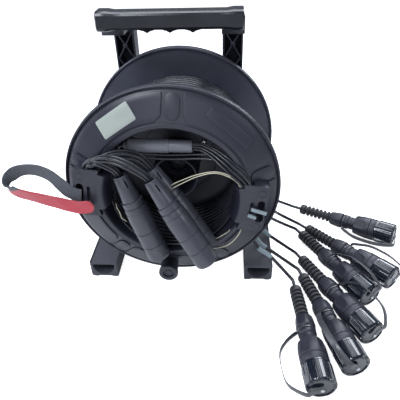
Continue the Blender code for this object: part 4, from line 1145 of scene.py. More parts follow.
class DRUM_OT_barrels(Operator):
    """Three connector barrels stowed in the compartment"""

    bl_idname = "cable_drum.barrels"
    bl_label = "Connector barrels"

    def execute(self, context):
        first = self.barrel(context.scene.drum_sizes.barrel_radius / MM)
        for name, axis in BARREL_AXES.items():
            piece = copied(first, "connector_" + name, along(*axis))
            ready(piece, "drum", anodised, [name], 28)
        bpy.data.objects.remove(first)
        return {"FINISHED"}

    def barrel(self, r):
        """Tapered chuck with slots, flatted ring, and a body with two seams and an end ring."""
        profile = [
            (7.4, 22), (7.4, 1.2), (7.9, 0.2), (8.7, 0), (9.5, 0.6), (9.9, 1.8), (9.7, 2.4),
            (10.1, 3.2), (13.5, 37.4), (13.4, 38.2), (12.9, 38.5), (12.9, 39.1), (14.5, 39.4),
            (15.4, 40), (15.4, 47.2), (14.9, 47.8), (14.6, 48.2), (14.6, 49.0), (15.4, 49.3),
            (16.1, 52.4), (16.1, 57.2), (15.8, 57.5), (15.8, 57.9), (16.3, 58.2), (16.9, 66),
            (r, 72),
        ] + [(r - sunk, seam + run) for seam in (90.6, 115.2) for sunk, run in (
            (0, 0), (0.3, 0.5), (0.9, 0.8), (0.9, 1.5), (0.3, 1.8), (0, 2.3))] + [
            (r, 123.6), (r - 0.25, 123.8),
            (r - 0.25, 124.1), (r, 124.3), (r, 137.6), (r - 0.4, 139.6), (r - 1.6, 141.9),
            (r - 3.6, 143), (11.2, 143), (10.6, 142.4), (10.6, 136), (0, 136),
        ]
        piece = turned("barrel", [(0, 22)] + profile, 72)
        for k in range(4):
            slot = box("slot", (6, -0.9, 6.5), (14, 0.9, 17.5))
            less(piece, down(slot, Matrix.Rotation(math.radians(90 * k + 38), 4, "Z")))
        for k in range(2):
            flat = box("flat", (14.1, -12, 40.6), (18, 12, 46.6))
            less(piece, down(flat, Matrix.Rotation(math.radians(180 * k + 65), 4, "Z")))
        return piece


SPLITTER_AXIS = in_drum([(-57, 10, 66.4), (31, 10, 64.4)])
TRUNK_LEAD = [(-65.5, 10, 66.6), (-68.5, 10, 66.4), (-72, 10.5, 62.5), (-73.5, 13.5, 56.5),
              (-74.5, 21, 51), (-75, 40, 49.5), (-75, 62, 49.5)]
FAN_OUT = [(32.2, 10, 64.4), (44, 8.6, 63.8), (60, 0, 59), (76, -12, 51.4), (89, -20, 43),
           (98, -22.2, 34.8), (103.5, -21.8, 27.5), (107.5, -20.5, 19), (112, -19.5, 8),
           (117, -19.2, -6)]
LEADS = {
    "barrel_1": [(-113.5, -19.4, 27), (-113.4, -19.8, 44), (-110.5, -23, 53.5),
                 (-102, -27, 60), (-91, -29, 61), (-80, -29, 55.5), (-71.5, -27.5, 48)],
    "barrel_2": [(-106, -24.8, 54), (-97, -28, 63), (-80, -34, 69.5), (-62, -40, 69.5),
                 (-44, -45, 63.4), (-30, -47, 54.4)],
    "barrel_3": [(-103, -25.5, 55), (-91, -25, 63), (-73, -21, 67.5), (-56, -16, 66),
                 (-41, -12, 59.4), (-31.5, -10.5, 49.4)],
}
CROSSING = [(-80, -16, 62), (-66, -7, 62.5), (-50, 0, 58), (-31, 4, 52), (2, 8, 48.5),
            (41, 7, 50), (66, 0, 50.5), (83, -9, 46), (97, -17.5, 37), (107, -19.5, 28),
            (112, -18.5, 16)]


class DRUM_OT_splitter(Operator):
    """Splitter where the trunk divides, and the trunk's own lead"""

    bl_idname = "cable_drum.splitter"
    bl_label = "Splitter"

    def execute(self, context):
        profile = [(0, -8), (4.0, -8), (4.4, -7.5), (5.3, -2.2), (6.4, -1.4), (8.6, -1),
                   (9.5, -0.6), (10, 0.4), (10, 52.6), (9.6, 53.4), (9.9, 54), (9.9, 55),
                   (9.2, 55.6), (8.7, 56.2), (8.7, 57.4), (8.9, 58), (8.8, 84.6), (8.3, 86.8),
                   (7.6, 88), (5.9, 88), (5.4, 87.2), (0, 87.2)]
        piece = down(turned("splitter_sleeve", profile, 64), along(*SPLITTER_AXIS))
        ready(piece, "drum", shrunk_splitter, ["trunk_splitter"])
        route = even_route(in_drum(TRUNK_LEAD), 3 * MM)
        lead = meshed(cable("trunk_end", [route], 6.4 * MM, 4))
        ready(lead, "drum", cable_jacket, ["trunk_lead"], 60)
        return {"FINISHED"}


class DRUM_OT_legs(Operator):
    """Fan-out cables and the loops that lead into the barrels"""

    bl_idname = "cable_drum.legs"
    bl_label = "Fan-out cables"

    def execute(self, context):
        leg = context.scene.drum_sizes.leg_diameter
        route = even_route(in_drum(FAN_OUT), 3.5 * MM)
        routes = [strand(route, side, rise, 0.65) for side in (-4.1, 0, 4.1)
                  for rise in (-1.9, 1.9)]
        fan = meshed(cable("fan_out_cables", routes, leg, 3))
        ready(fan, "drum", cable_jacket, ["fan_out_legs"], 60)

        routes = []
        for k, (name, points) in enumerate(LEADS.items()):
            mouth, end = BARREL_AXES[name]
            ahead = (end - mouth).normalized()
            left = Vector((-1, 0, 0))
            left = (left - ahead * left.dot(ahead)).normalized() * 1.4 * MM
            ends = [mouth - ahead * MM + left, mouth + ahead * 14 * MM + left]
            route = even_route(in_drum(points) + ends, 3.5 * MM)
            for j, (side, rise) in enumerate(((-2, -2), (2, -2), (-2, 2), (2, 2))):
                routes.append(strand(route, side, rise, 0.35 + 0.22 * ((j + k) % 3)))
        for side in (-2.2, 2.2):
            routes.append(strand(even_route(in_drum(CROSSING), 3.5 * MM), side, side / 2, 0.2))
        leads = meshed(cable("lead_cables", routes, leg, 3))
        ready(leads, "drum", cable_jacket, ["barrel_leads"], 60)
        return {"FINISHED"}


TETHERS = [
    [(-2, -12, 6), (3.6, -22, 21.9), (22.4, -26, 34.4), (40.3, -28, 42.9), (60.2, -27, 46.4),
     (76, -24, 41.6), (90.9, -21, 30.3), (100, -20, 16)],
    [(-3, -13, 1), (3.3, -23, 16), (22.3, -27, 30.3), (40.3, -29, 40.4), (60.2, -28, 45),
     (76, -25, 39.8), (90.9, -22, 28.6), (99, -20, 14)],
    [(60, -8, -84), (64.6, -15, -77.4), (73.6, -15, -71.3), (82.5, -16, -62.6),
     (90, -12, -50)],
    [(58, -19, -95), (69.2, -20.2, -91.8), (81.2, -21, -85.6), (90.1, -21.5, -75.6),
     (97.2, -21.6, -63.1), (102, -21, -48)],
    [(-84, -6, -22), (-82.5, -10, -27.3), (-79.2, -12, -33.1), (-76, -15, -41.9),
     (-71, -12, -50)],
]


class DRUM_OT_tethers(Operator):
    """Thin braided cords of the stowed connectors' covers"""

    bl_idname = "cable_drum.tethers"
    bl_label = "Tether cords"

    def execute(self, context):
        routes = [even_route(in_drum(points), 2.5 * MM) for points in TETHERS]
        cords = meshed(cable("tether_cords", routes, 1.3 * MM, 2))
        ready(cords, "drum", braided_cord, (), 60)
        sleeves = []
        for start, end in (((112.5, -31.5, -11), (133.7, -31, -18.8)),
                           ((108.5, -30.5, -22), (119.5, -30, -27))):
            start, end = in_drum([start, end])
            far = (end - start).length / MM
            sleeve = turned("sleeve", [(0, 0), (2.2, 0), (2.6, 0.4), (2.7, 1), (2.7, far - 1),
                                       (2.6, far - 0.4), (2.2, far), (0, far)], 24)
            sleeves.append(down(sleeve, along(start, end)))
        ready(together("plate_sleeves", sleeves), "drum", shrunk_sleeve, ())
        return {"FINISHED"}


STRAP_ROUTE = [(-124, -28.8, 7.4), (-132, -28.9, 9.4), (-141, -29.2, 15), (-151, -28.5, 27),
               (-162, -27, 38), (-178, -25, 45), (-196, -24, 46), (-212, -25, 41.5),
               (-222, -27.5, 32), (-223.5, -30, 21), (-214, -32, 14), (-200, -33, 9.5),
               (-182, -34, 5), (-160, -35, -0.5), (-142, -36, -5), (-125, -37, -7.5),
               (-106, -37, -4.5)]


class DRUM_OT_strap(Operator):
    """Hook-and-loop closure strap, red towards its tongue"""

    bl_idname = "cable_drum.strap"
    bl_label = "Closure strap"

    def execute(self, context):
        width = context.scene.drum_sizes.strap_width
        route = even_route(in_drum(STRAP_ROUTE), 2.2 * MM)
        total = run_length(route)
        thick, across = 1.15 * MM, 10
        sections, reach = [], 0.0
        for i, point in enumerate(route):
            ahead = heading(route, i)
            lean = 0.3 * min(max((-150 * MM - point.x) / (40 * MM), 0), 1)
            wide = Vector((0.05, -lean, 1)).normalized()
            wide = (wide - ahead * wide.dot(ahead)).normalized()
            thin = wide.cross(ahead)
            if i:
                reach += (point - route[i - 1]).length
            half = rounded_end(width / 2, total - reach, 0.6 * MM)
            row = []
            for j in range(across + 1):
                share = 2 * j / across - 1
                sag = 0.25 * MM * math.sin(reach / (7 * MM) + share * 2)
                row.append((point + wide * half * share + thin * sag, reach, half * share, thin))
            sections.append(row)
        mesh = bpy.data.meshes.new("strap_tape")
        work = bmesh.new()
        uv = work.loops.layers.uv.new("tape")
        layers = []
        for up in (1, -1):
            layers.append([[work.verts.new(co + thin * thick * up) for co, _, _, thin in row]
                           for row in sections])
        where = {}
        for grid in layers:
            for i, row in enumerate(grid):
                for j, vert in enumerate(row):
                    where[vert] = (sections[i][j][1], sections[i][j][2])

        seam = self.seam_reach(route)

        def face(*verts):
            made = work.faces.new(verts)
            for loop in made.loops:
                loop[uv].uv = where[loop.vert]
            middle = [sum(where[v][n] for v in verts) / 4 for n in (0, 1)]
            made.material_index = int(middle[0] - middle[1] * 0.9 > seam)
            made.smooth = True

        rows, columns = len(sections), across + 1
        for grid, flip in ((layers[0], False), (layers[1], True)):
            for i in range(rows - 1):
                for j in range(columns - 1):
                    quad = (grid[i][j], grid[i][j + 1], grid[i + 1][j + 1], grid[i + 1][j])
                    face(*(reversed(quad) if flip else quad))
        top, low = layers
        for i in range(rows - 1):
            face(top[i][0], top[i + 1][0], low[i + 1][0], low[i][0])
            face(top[i][-1], low[i][-1], low[i + 1][-1], top[i + 1][-1])
        for j in range(columns - 1):
            face(top[0][j], low[0][j], low[0][j + 1], top[0][j + 1])
            face(top[-1][j], top[-1][j + 1], low[-1][j + 1], low[-1][j])
        bmesh.ops.recalc_face_normals(work, faces=work.faces)
        work.to_mesh(mesh)
        work.free()
        strap = linked("strap_tape", mesh)
        mesh.materials.append(finish(woven_back))
        mesh.materials.append(finish(loop_pile))
        ready(strap, "drum", woven_back, ["closure_strap"], 50)
        return {"FINISHED"}

    def seam_reach(self, route):
        """How far along the tape its red loop part begins: just past the far end of the loop."""
        reach = 0.0
        for start, end in zip(route, route[1:]):
            reach += (end - start).length
            if end.z < AXIS_Z + 17 * MM and end.x < -0.2 and reach > 0.1:
                return reach
        raise RuntimeError("the strap has no lower run")


# Stand


class DRUM_OT_base(Operator):
    """Two hollow feet and the beam that joins them"""

    bl_idname = "cable_drum.base"
    bl_label = "Base"

    def execute(self, context):
        width = context.scene.stand_sizes.foot_width / MM
        inside, outside = 109.6, 109.6 + width
        beam = box("stand_base", (-outside, -13, 0), (outside, 15, 34))
        middle = (inside + outside) / 2
        sole = [(inside + 1, 0), (inside + 9, 0), (inside + 12, 1.5), (outside - 14, 1.5),
                (outside - 11, 0), (outside - 5, 0), (outside - 1.5, 1.6), (outside, 5)]
        outline = sole + [(outside, 33), (outside - 2, 33), (outside - 2, 31), (inside + 2, 31),
                          (inside + 2, 33), (inside, 33), (inside, 1)]
        mouth = [(x, max(z, 4)) for x, z in arc(middle, 24, width / 2 - 5, 180, 360, 24)]
        mouth += [(outside - 5, 27), (inside + 5, 27)]
        for side in (1, -1):
            foot = slab("foot", mirrored(outline, side), -171.4, -8)
            less(foot, slab("mouth", mirrored(mouth, side), -178, -139))
            plus(beam, foot)
        softened(beam, 0.7, 2, 45)
        ready(beam, "stand", foot_moulding, ["base_frame"])
        return {"FINISHED"}


class DRUM_OT_uprights(Operator):
    """Channel posts with cross ribs and forward arms"""

    bl_idname = "cable_drum.uprights"
    bl_label = "Uprights"

    def execute(self, context):
        sizes = context.scene.stand_sizes
        width, rib = sizes.post_width / MM, sizes.rib_thickness / MM
        inside, outside, web_top, bay = 69, 69 + width, 373, 42
        side_view = [(15, 34.3), (15, 388), (1, 399), (-79.2, 408), (-79.2, 384),
                     (-23, 384), (-16, 381), (-13, 374), (-13, 34.3)]
        drawn([(inside * MM, y * MM, z * MM) for y, z in side_view])
        bpy.ops.mesh.edge_face_add()
        bpy.ops.mesh.extrude_region_move(TRANSFORM_OT_translate={"value": (width * MM, 0, 0)})
        post = tidy_shell(called("post_right"))
        left, right = inside + 3, outside - 3
        less(post, box("channel", (left, -15, 44.3), (right, 12, web_top)))
        softened(post, 0.8, 2, 45)
        ribs = []
        for k in range(3):
            top = web_top - bay * k
            for lean in (1, -1):
                low = Vector((left if lean > 0 else right, 0, top - bay))
                high = Vector((right if lean > 0 else left, 0, top))
                run = (high - low).normalized()
                across = run.cross(Vector((0, 1, 0))) * rib / 2
                corners = [low - run * 2 - across, low - run * 2 + across,
                           high + run * 2 + across, high + run * 2 - across]
                ribs.append(slab("rib", [(c.x, c.z) for c in corners], -11 + 0.2 * lean, 12.5))
            centre = ((left + right) / 2, top - bay / 2)
            boss = slab("boss", arc(*centre, 3.6, 0, 345, 23), -12.1, 12.4)
            ribs.append(softened(boss, 0.4))
            less(boss, slab("hole", arc(*centre, 1.3, 0, 330, 11), -14, -4))
        web = together("web", ribs)
        post = together("post_right", [post, web])
        other = tidy_shell(copied(post, "post_left", Matrix.Diagonal((-1, 1, 1, 1))))
        for thing, node in ((post, "right_upright"), (other, "left_upright")):
            ready(thing, "stand", satin_moulding, [node])
        return {"FINISHED"}


class DRUM_OT_bearing_plate(Operator):
    """Web between the uprights with the axle's boss"""

    bl_idname = "cable_drum.bearing_plate"
    bl_label = "Bearing plate"

    def execute(self, context):
        reach, half, waist, z = 68.7, 60, 37, AXIS_Z / MM
        outline = [(-reach, z - half), (-waist, z - waist), (waist, z - waist),
                   (reach, z - half), (reach, z + half), (waist, z + waist),
                   (-waist, z + waist), (-reach, z + half)]
        plate = slab("axle_web", outline, 6, 13)
        boss = turned("boss", [(0, -13.7), (30, -13.7), (33, 12), (0, 12)], 72)
        plus(plate, down(boss, TO_BACK))
        for side in (1, -1):
            near, far = sorted((side * reach, side * (reach - 4)))
            plus(plate, box("edge", (near, -11.7, z - half + 2), (far, 13.4, z + half - 2)))
            for tilt in (18, -18):
                brace = box("brace", (28, -6, -1.2), (66, 8, 1.2))
                down(brace, Matrix.Translation((0, 0, AXIS_Z))
                     @ Matrix.Rotation(math.radians(tilt + (180 if side < 0 else 0)), 4, "Y"))
                plus(plate, brace)
        bore = turned("bore", [(0, -60), (10.3, -60), (10.3, 60), (0, 60)], 48)
        less(plate, down(bore, TO_BACK))
        softened(plate, 0.7, 2, 45)
        ready(plate, "stand", satin_moulding, ["bearing_plate"])
        return {"FINISHED"}


class DRUM_OT_grip(Operator):
    """Moulded hand grip with bevelled ends and finger ridges"""

    bl_idname = "cable_drum.grip"
    bl_label = "Hand grip"

    def execute(self, context):
        drop = context.scene.stand_sizes.finger_drop
        y, low, high = -96, 395.5, 422.5
        soft = 5
        section = [(y - 16.5, low + soft), (y - 14.4, low + 1.6), (y - 10.2, low),
                   (y, low - 0.01), (y + 10.2, low), (y + 14.4, low + 1.6),
                   (y + 16.5, low + soft), (y + 16.5, high - soft), (y + 14.6, high - 2.2),
                   (y + 9.4, high), (y - 9.4, high), (y - 14.6, high - 2.2),
                   (y - 16.5, high - soft)]
        start = -98.5
        drawn([(start * MM, a * MM, b * MM) for a, b in section])
        bpy.ops.mesh.edge_face_add()
        middle = Vector((0, y * MM, (low + high) / 2 * MM))
        steps = [(1.6, 1.06), (3.4, 1.0), (9, 1.0), (9, 0.9), (14, 1.0)]
        bpy.ops.transform.resize(value=(1, 0.94, 0.92), center_override=middle)
        for shift, size in steps:
            self.extruded(shift, size, middle)
        at = start + sum(shift for shift, _ in steps)
        pitch, deepest, ridges = 31, 4.5, []
        for k in (-1, 0, 1):
            for shift, rise in ((-11, 0), (-5, 1.6), (0, deepest), (5, 1.6), (11, 0)):
                stop = k * pitch + shift
                self.extruded(stop - at)
                at = stop
                ridges.append((stop * MM, rise / deepest * drop))
        for shift, size in [(61.5 - at, 1.0), (14, 1.0), (9, 1 / 0.9), (9, 1.0), (3.4, 1.0),
                            (1.6, 1 / 1.06)]:
            self.extruded(shift, size, middle)
        grip = tidy_shell(called("grip_bar"))
        edit(grip)
        for x, rise in ridges:
            if rise:
                pick(lambda co: abs(co.x - x) < 0.2 * MM and co.z < (low + 3) * MM)
                bpy.ops.transform.translate(value=(0, 0, -rise))
        let_go()
        softened(grip, 1.2, 3, 35)
        ready(grip, "stand", grip_moulding, ["handle_grip"], 30)
        return {"FINISHED"}

    def extruded(self, shift, size=1.0, middle=None):
        """Extrudes the end of the grip along X and resizes it about the section's middle."""
        bpy.ops.mesh.extrude_region_move(TRANSFORM_OT_translate={"value": (shift * MM, 0, 0)})
        if size != 1.0:
            bpy.ops.transform.resize(value=(1, size, size), center_override=middle)


# Outdoor plugs

# (x, y) of each plug's axis at both ends, in millimetres
PLUGS = [
    ((230.4, 19.0), (384.5, -74.4)),
    ((234.1, -46.5), (349.5, -182.4)),
    ((221.0, -63.5), (303.6, -222.4)),
    ((212.0, -132.5), (289.6, -295.9)),
    ((207.7, -175.4), (253.6, -347.2)),
    ((191.7, -202.4), (203.4, -385.0)),
]
PLUG_LOW, PLUG_HIGH = 13, 23  # height of a plug's axis at both ends
PER_GROUP = 24  # steps round a cap in one group of ribs
# each lanyard's turn round its plug in degrees, and how far it bows out in millimetres
LANYARDS = [(192, 31), (28, 30), (62, 30), (52, 40), (132, 41), (192, 44)]
# where each part of a plug begins, from the end of its boot
GLAND, GROOVE, COLLAR, NECK, SHELL_END, CAP, END = 62.3, 87.3, 91.3, 109.3, 148.3, 148.6, 183.6


def plug_frames():
    """A frame at the end of each plug's boot, whose Z points to its cap."""
    return [along(Vector((x0, y0, PLUG_LOW)) * MM, Vector((x1, y1, PLUG_HIGH)) * MM)
            for (x0, y0), (x1, y1) in PLUGS]


def on_each_plug(first, stem, node, body, make, angle=30):
    """Copies a piece that was modelled on the Z axis to all six plugs."""
    for k, place in enumerate(plug_frames(), 1):
        piece = copied(first, f"{stem}_{k}", place)
        ready(piece, body.format(k), make, [f"plug_{k}_{node}"], angle)
    bpy.data.objects.remove(first)


class DRUM_OT_boots(Operator):
    """Ribbed bend reliefs"""

    bl_idname = "cable_drum.boots"
    bl_label = "Boots"

    def execute(self, context):
        sizes = context.scene.plug_sizes
        r = sizes.boot_radius / MM
        core, waist, first, last = 6.4, 8.2, 11, 62
        profile = [(0, 0), (7.4, 0), (8.8, 0.5), (9.5, 1.7), (9.7, 3), (9.8, 9.4), (9.4, 10.3),
                   (8.4, 10.8), (core, first)]
        step = (last - first) / (sizes.boot_ribs + 0.3)
        for k in range(sizes.boot_ribs):
            profile += [(reach, first + step * k + step * share) for reach, share in (
                (core, 0.4), (waist, 0.43), (r - 0.6, 0.48), (r, 0.6), (r, 0.8), (r - 0.6, 0.92),
                (waist, 0.97), (core, 1))]
        profile += [(core, 61), (8.6, 61.4), (8.6, last), (0, last)]
        boot = turned("boot", profile, 40)
        on_each_plug(boot, "boot", "boot", "stand", boot_rubber, 40)
        return {"FINISHED"}


class DRUM_OT_bodies(Operator):
    """Glands with flats, lanyard grooves, collars and necks"""

    bl_idname = "cable_drum.bodies"
    bl_label = "Glands and necks"

    def execute(self, context):
        r = context.scene.plug_sizes.gland_radius / MM
        gland = turned("gland", [(0, GLAND), (10.2, GLAND), (10.9, GLAND + 0.6),
                                 (r + 0.4, GLAND + 4.6), (r + 0.9, GLAND + 6),
                                 (r + 0.9, GROOVE - 3.6), (r + 0.4, GROOVE - 2.4),
                                 (12.0, GROOVE - 0.6), (11.8, GROOVE), (0, GROOVE)], 60)
        for k in range(6):
            angle = math.tau * k / 6
            out = Vector((math.cos(angle), math.sin(angle), -0.12)).normalized()
            closed_cut(gland, (out * (r - 1) + Vector((0, 0, GLAND + 12))) * MM, out)
        tidy_shell(gland)
        softened(gland, 0.4, 2, 24)
        neck = turned("neck", [
            (0, GROOVE - 1), (11.6, GROOVE - 1), (11.6, COLLAR + 0.1), (12.7, COLLAR + 0.3),
            (13.2, COLLAR + 0.9), (13.2, COLLAR + 6), (12.8, COLLAR + 6.7), (12.2, COLLAR + 7),
            (11.7, COLLAR + 7.6), (11.7, COLLAR + 11.6), (12.2, COLLAR + 12),
            (12.2, COLLAR + 13.4), (11.7, COLLAR + 13.8), (11.7, NECK + 3.6), (14, NECK + 5),
            (14, END - 4.9), (0, END - 4.9)], 60)
        body = together("gland", [gland, neck])
        on_each_plug(body, "gland", "body", "stand", shell_moulding, 30)
        return {"FINISHED"}


class DRUM_OT_shells(Operator):
    """Coupling shells with four grip recesses"""

    bl_idname = "cable_drum.shells"
    bl_label = "Coupling shells"

    def execute(self, context):
        r = context.scene.plug_sizes.shell_radius / MM
        shell = turned("shell", [
            (12.6, NECK + 0.6), (15.4, NECK + 0.5), (r - 2.2, NECK + 2), (r - 0.9, NECK + 9),
            (r - 0.4, NECK + 12), (r - 0.1, NECK + 16), (r, NECK + 27.6), (r - 0.5, NECK + 28),
            (r - 0.9, NECK + 28.2), (r - 0.9, NECK + 28.8), (r - 0.3, NECK + 29),
            (r, NECK + 29.4), (r, SHELL_END - 1.2), (r - 0.4, SHELL_END - 0.2),
            (r - 1, SHELL_END), (15, SHELL_END), (14.8, SHELL_END - 0.4), (14.8, NECK + 4.6),
            (12.6, NECK + 3.4)], 96, closed=True)
        for k in range(4):
            scoop = self.scoop(r)
            less(shell, down(scoop, Matrix.Rotation(math.tau * (k + 0.5) / 4, 4, "Z")))
        softened(shell, 0.35, 2, 38)
        on_each_plug(shell, "coupling", "shell", "shell_{}", shell_moulding, 35)
        return {"FINISHED"}

    def scoop(self, r):
        """Cutter with a round end, lying outside one side of the shell."""
        half, end = 7.8, NECK + 23
        outline = arc(0, end - half, half, 0, 180, 16) + [(-half, NECK - 4), (half, NECK - 4)]
        cutter = slab("scoop", outline, r - 3.5, r + 8)
        return softened(cutter, 0.8, 3, 60)


class DRUM_OT_caps(Operator):
    """Ribbed dust caps"""

    bl_idname = "cable_drum.caps"
    bl_label = "Dust caps"

    def execute(self, context):
        sizes = context.scene.plug_sizes
        r, groups = sizes.cap_radius / MM, sizes.cap_groups
        count_round = groups * PER_GROUP
        let_go()
        bpy.ops.mesh.primitive_circle_add(vertices=count_round, radius=(r - 0.9) * MM,
                                          location=(0, 0, CAP * MM))
        edit()
        self.raised((2.2, 1), (0.35, (r - 1.6) / (r - 0.9)), (0.7, 1), (0.4, r / (r - 1.6)))
        self.grooves(r, count_round)
        self.raised((26.4, 1), (1.5, (r - 0.7) / r), (1.1, (r - 2.2) / (r - 0.7)),
                    (0.6, (r - 3.6) / (r - 2.2)), (0, (r - 4.6) / (r - 3.6)),
                    (-1.2, (r - 5) / (r - 4.6)), (0, 0.32), (0, 0.5))
        bpy.ops.mesh.merge(type="CENTER")
        cap = called("cap")
        down(cap)
        edit(cap)
        pick(lambda co: abs(co.z - CAP * MM) < 1e-6)
        self.raised((0, 14.8 / (r - 0.9)), (END - 4.5 - CAP, 1), (0, 0.4))
        bpy.ops.mesh.merge(type="CENTER")
        let_go()
        tidy_shell(cap)
        less(cap, box("slot", (-2.4, -9, END - 3.4), (2.4, -1.5, END + 2)))
        on_each_plug(cap, "dust_cap", "cap", "cap_{}", cap_moulding, 24)
        return {"FINISHED"}

    def raised(self, *steps):
        """Extrudes the selected ring and resizes it, once for each (rise, size)."""
        for rise, size in steps:
            bpy.ops.mesh.extrude_region_move(TRANSFORM_OT_translate={"value": (0, 0, rise * MM)})
            bpy.ops.transform.resize(value=(size, size, 1), center_override=(0, 0, 0))

    def grooves(self, r, around):
        """Sinks three pairs of fine grooves in each group, which leaves four ribs and a land."""
        sunk = {1, 2, 5, 6, 9, 10, 13, 14}
        mesh = bmesh.from_edit_mesh(bpy.context.edit_object.data)
        ring = [v for v in mesh.verts if v.select]
        for vert in ring:
            place = bpy.context.edit_object.matrix_world @ vert.co
            step = round(math.atan2(place.y, place.x) / math.tau * around) % PER_GROUP
            vert.select_set(step in sunk)
        bmesh.update_edit_mesh(bpy.context.edit_object.data)
        mesh.select_flush(False)
        share = (r - 1.0) / r
        bpy.ops.transform.resize(value=(share, share, 1), center_override=(0, 0, 0))
        bpy.ops.mesh.select_all(action="DESELECT")
        bpy.ops.mesh.select_mode(type="EDGE")
        mesh = bmesh.from_edit_mesh(bpy.context.edit_object.data)
        top = max(v.co.z for v in mesh.verts)
        for edge in mesh.edges:
            edge.select_set(all(abs(v.co.z - top) < 1e-7 for v in edge.verts))
        bmesh.update_edit_mesh(bpy.context.edit_object.data)


class DRUM_OT_lanyards(Operator):
    """Flexible straps that hold the dust caps, each with its ring and rivet"""

    bl_idname = "cable_drum.lanyards"
    bl_label = "Lanyards"

    def execute(self, context):
        width = context.scene.plug_sizes.lanyard_width
        for k, place in enumerate(plug_frames(), 1):
            turn, bow = LANYARDS[k - 1]
            strap = self.strap(f"lanyard_{k}", width, bow)
            ring = turned("ring", [(12.1, GROOVE + 0.5), (13.5, GROOVE + 0.7),
                                   (13.7, GROOVE + 2), (13.5, GROOVE + 3.3),
                                   (12.1, GROOVE + 3.5)], 48, closed=True)
            rivet = turned("rivet", [(0, END - 1), (1.4, END - 1), (1.4, END + 1.6),
                                     (2.6, END + 1.7), (2.5, END + 2.2), (1.6, END + 2.7),
                                     (0, END + 2.9)], 24)
            spin = Matrix.Rotation(math.radians(turn), 4, "Z")
            piece = down(together(f"lanyard_{k}", [strap, ring]), place @ spin)
            ready(piece, "stand", strap_rubber, [f"plug_{k}_lanyard"], 40)
            rivet = down(rivet, place)
            rivet.name = rivet.data.name = f"rivet_{k}"
            ready(rivet, f"cap_{k}", zinc_steel, ())
        return {"FINISHED"}

    def strap(self, name, width, bow):
        """Flat strap from the groove to the end of the cap, bowing out along X."""
        route = [(12.7, GROOVE + 2), (17.7, GROOVE + 3), (12.7 + (bow - 12.7) * 0.62, 101.3),
                 (bow, NECK + 10), (bow + 1.5, SHELL_END), (bow * 0.93, CAP + 22),
                 (21.6, END + 3.5), (11.3, END + 1.6), (0, END + 1.1), (-4, END + 1.1)]
        points = even_route([Vector((x, 0, z)) * MM for x, z in route], 2.4 * MM)
        total = run_length(points)
        work = bmesh.new()
        thick = 0.6 * MM
        loops, reach = [], 0.0
        for i, point in enumerate(points):
            thin = heading(points, i).cross(Vector((0, 1, 0)))
            if i:
                reach += (point - points[i - 1]).length
            half = rounded_end(width / 2, min(reach, total - reach), 0.8 * MM)
            shape = [(-half, -thick * 0.6), (-half * 0.9, -thick), (half * 0.9, -thick),
                     (half, -thick * 0.6), (half, thick * 0.6), (half * 0.9, thick),
                     (-half * 0.9, thick), (-half, thick * 0.6)]
            loops.append([work.verts.new(point + Vector((0, a, 0)) + thin * b)
                          for a, b in shape])
        for low, high in zip(loops, loops[1:]):
            for i in range(8):
                j = (i + 1) % 8
                work.faces.new((low[i], low[j], high[j], high[i]))
        work.faces.new(loops[0])
        work.faces.new(loops[-1])
        bmesh.ops.recalc_face_normals(work, faces=work.faces)
        mesh = bpy.data.meshes.new(name)
        work.to_mesh(mesh)
        work.free()
        return linked(name, mesh)


TAIL_TURNS = [13, 12, 10, 8, 6, 5]  # the turn of the winding that each tail leaves
TAIL_FREE = [12, 10, 9, 5, 2, 2]  # where it comes off the winding, in degrees above its middle
TAIL_ROUTES = [  # what it passes on its way to its plug, in millimetres
    [(131, -88, 190), (143, -72, 145), (150, -36, 92), (164, 4, 50)],
    [(131, -100, 185), (146, -96, 130), (158, -78, 84), (180, -46, 46)],
    [(130, -116, 180), (141, -112, 124), (151, -98, 84), (171, -72, 51)],
    [(126, -132, 150), (131, -132, 100), (144, -129, 72), (166, -123, 48)],
    [(119, -146, 130), (123, -146, 86), (136, -148, 62), (156, -151, 47)],
    [(119, -160, 130), (121, -160, 84), (132, -162, 63), (153, -167, 49)],
]


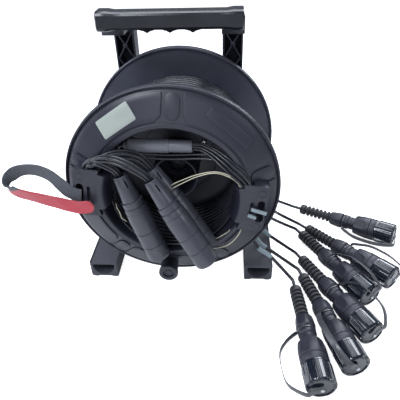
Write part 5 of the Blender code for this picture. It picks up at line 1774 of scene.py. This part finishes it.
class DRUM_OT_tails(Operator):
    """Six free tails from the winding to their plugs, three of them with grey sleeves"""

    bl_idname = "cable_drum.tails"
    bl_label = "Tails"

    def execute(self, context):
        tail = context.scene.plug_sizes.tail_diameter
        _, outside, first, pitch = winding()
        reach = outside + GAP + tail / 2
        for k, place in enumerate(plug_frames()):
            y = first + pitch * TAIL_TURNS[k]
            route = []
            free = math.radians(TAIL_FREE[k])
            for angle, away in ((LEAVES, 0), ((LEAVES + free) / 2, 0.2 * MM), (free, 0.5 * MM)):
                route.append(Vector(((reach + away) * math.cos(angle), y,
                                     AXIS_Z + (reach + away) * math.sin(angle))))
            route += [Vector(p) * MM for p in TAIL_ROUTES[k]]
            back = place.to_3x3() @ Vector((0, 0, 1))
            route.append(place.translation - back * 20 * MM)
            end = place.translation - back * GAP
            points = even_route(route, 9 * MM) + [end]
            cord = cable(f"tail_cable_{k + 1}", [points], tail, 3)
            cord.data.materials.append(finish(cable_jacket))
            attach(cord, "stand")
            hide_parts(f"tail_{k + 1}")
            if k > 2:
                self.sleeve(k + 1, points, tail)
        return {"FINISHED"}

    def sleeve(self, number, points, tail):
        """Short shrunk sleeve round a tail where it comes out from under the drum."""
        middle = {4: 66, 5: 59, 6: 55}[number] * MM
        start = min(range(len(points)), key=lambda i: abs(points[i].z - middle))
        part = points[start - 2 : start + 2]
        sleeve = meshed(cable(f"tail_sleeve_{number}", [even_route(part, 2 * MM)],
                              tail + 1.7 * MM, 4))
        ready(sleeve, "stand", shrunk_sleeve, (), 40)
        return sleeve.name


OPERATORS = [
    DRUM_OT_stage, DRUM_OT_front_flange, DRUM_OT_rear_flange, DRUM_OT_hub_floor,
    DRUM_OT_winding, DRUM_OT_axle, DRUM_OT_clamp_plates, DRUM_OT_knob, DRUM_OT_barrels,
    DRUM_OT_splitter, DRUM_OT_legs, DRUM_OT_tethers, DRUM_OT_strap, DRUM_OT_base,
    DRUM_OT_uprights, DRUM_OT_bearing_plate, DRUM_OT_grip, DRUM_OT_boots, DRUM_OT_bodies,
    DRUM_OT_shells, DRUM_OT_caps, DRUM_OT_lanyards, DRUM_OT_tails,
]
GROUPS = {"drum_sizes": DrumSizes, "plug_sizes": PlugSizes, "stand_sizes": StandSizes,
          "drum_colours": DrumColours}


class DRUM_PT_panel(Panel):
    """Sizes, colours and the steps that build the drum"""

    bl_idname = "DRUM_PT_panel"
    bl_label = "Cable drum"
    bl_space_type = "VIEW_3D"
    bl_region_type = "UI"
    bl_category = "Cable drum"

    def draw(self, context):
        for name, group in GROUPS.items():
            part = self.layout.box()
            part.label(text=name.replace("_", " ").capitalize())
            for key in group.__annotations__:
                part.prop(getattr(context.scene, name), key)
        for step in OPERATORS:
            self.layout.operator(step.bl_idname)


def register():
    for kind in [*GROUPS.values(), *OPERATORS, DRUM_PT_panel]:
        bpy.utils.register_class(kind)
    for name, group in GROUPS.items():
        setattr(bpy.types.Scene, name, PointerProperty(type=group))


def unregister():
    for name in GROUPS:
        delattr(bpy.types.Scene, name)
    for kind in reversed([*GROUPS.values(), *OPERATORS, DRUM_PT_panel]):
        bpy.utils.unregister_class(kind)


def main():
    register()
    for step in OPERATORS:
        group, name = step.bl_idname.split(".")
        getattr(getattr(bpy.ops, group), name)()


if __name__ == "__main__":
    main()
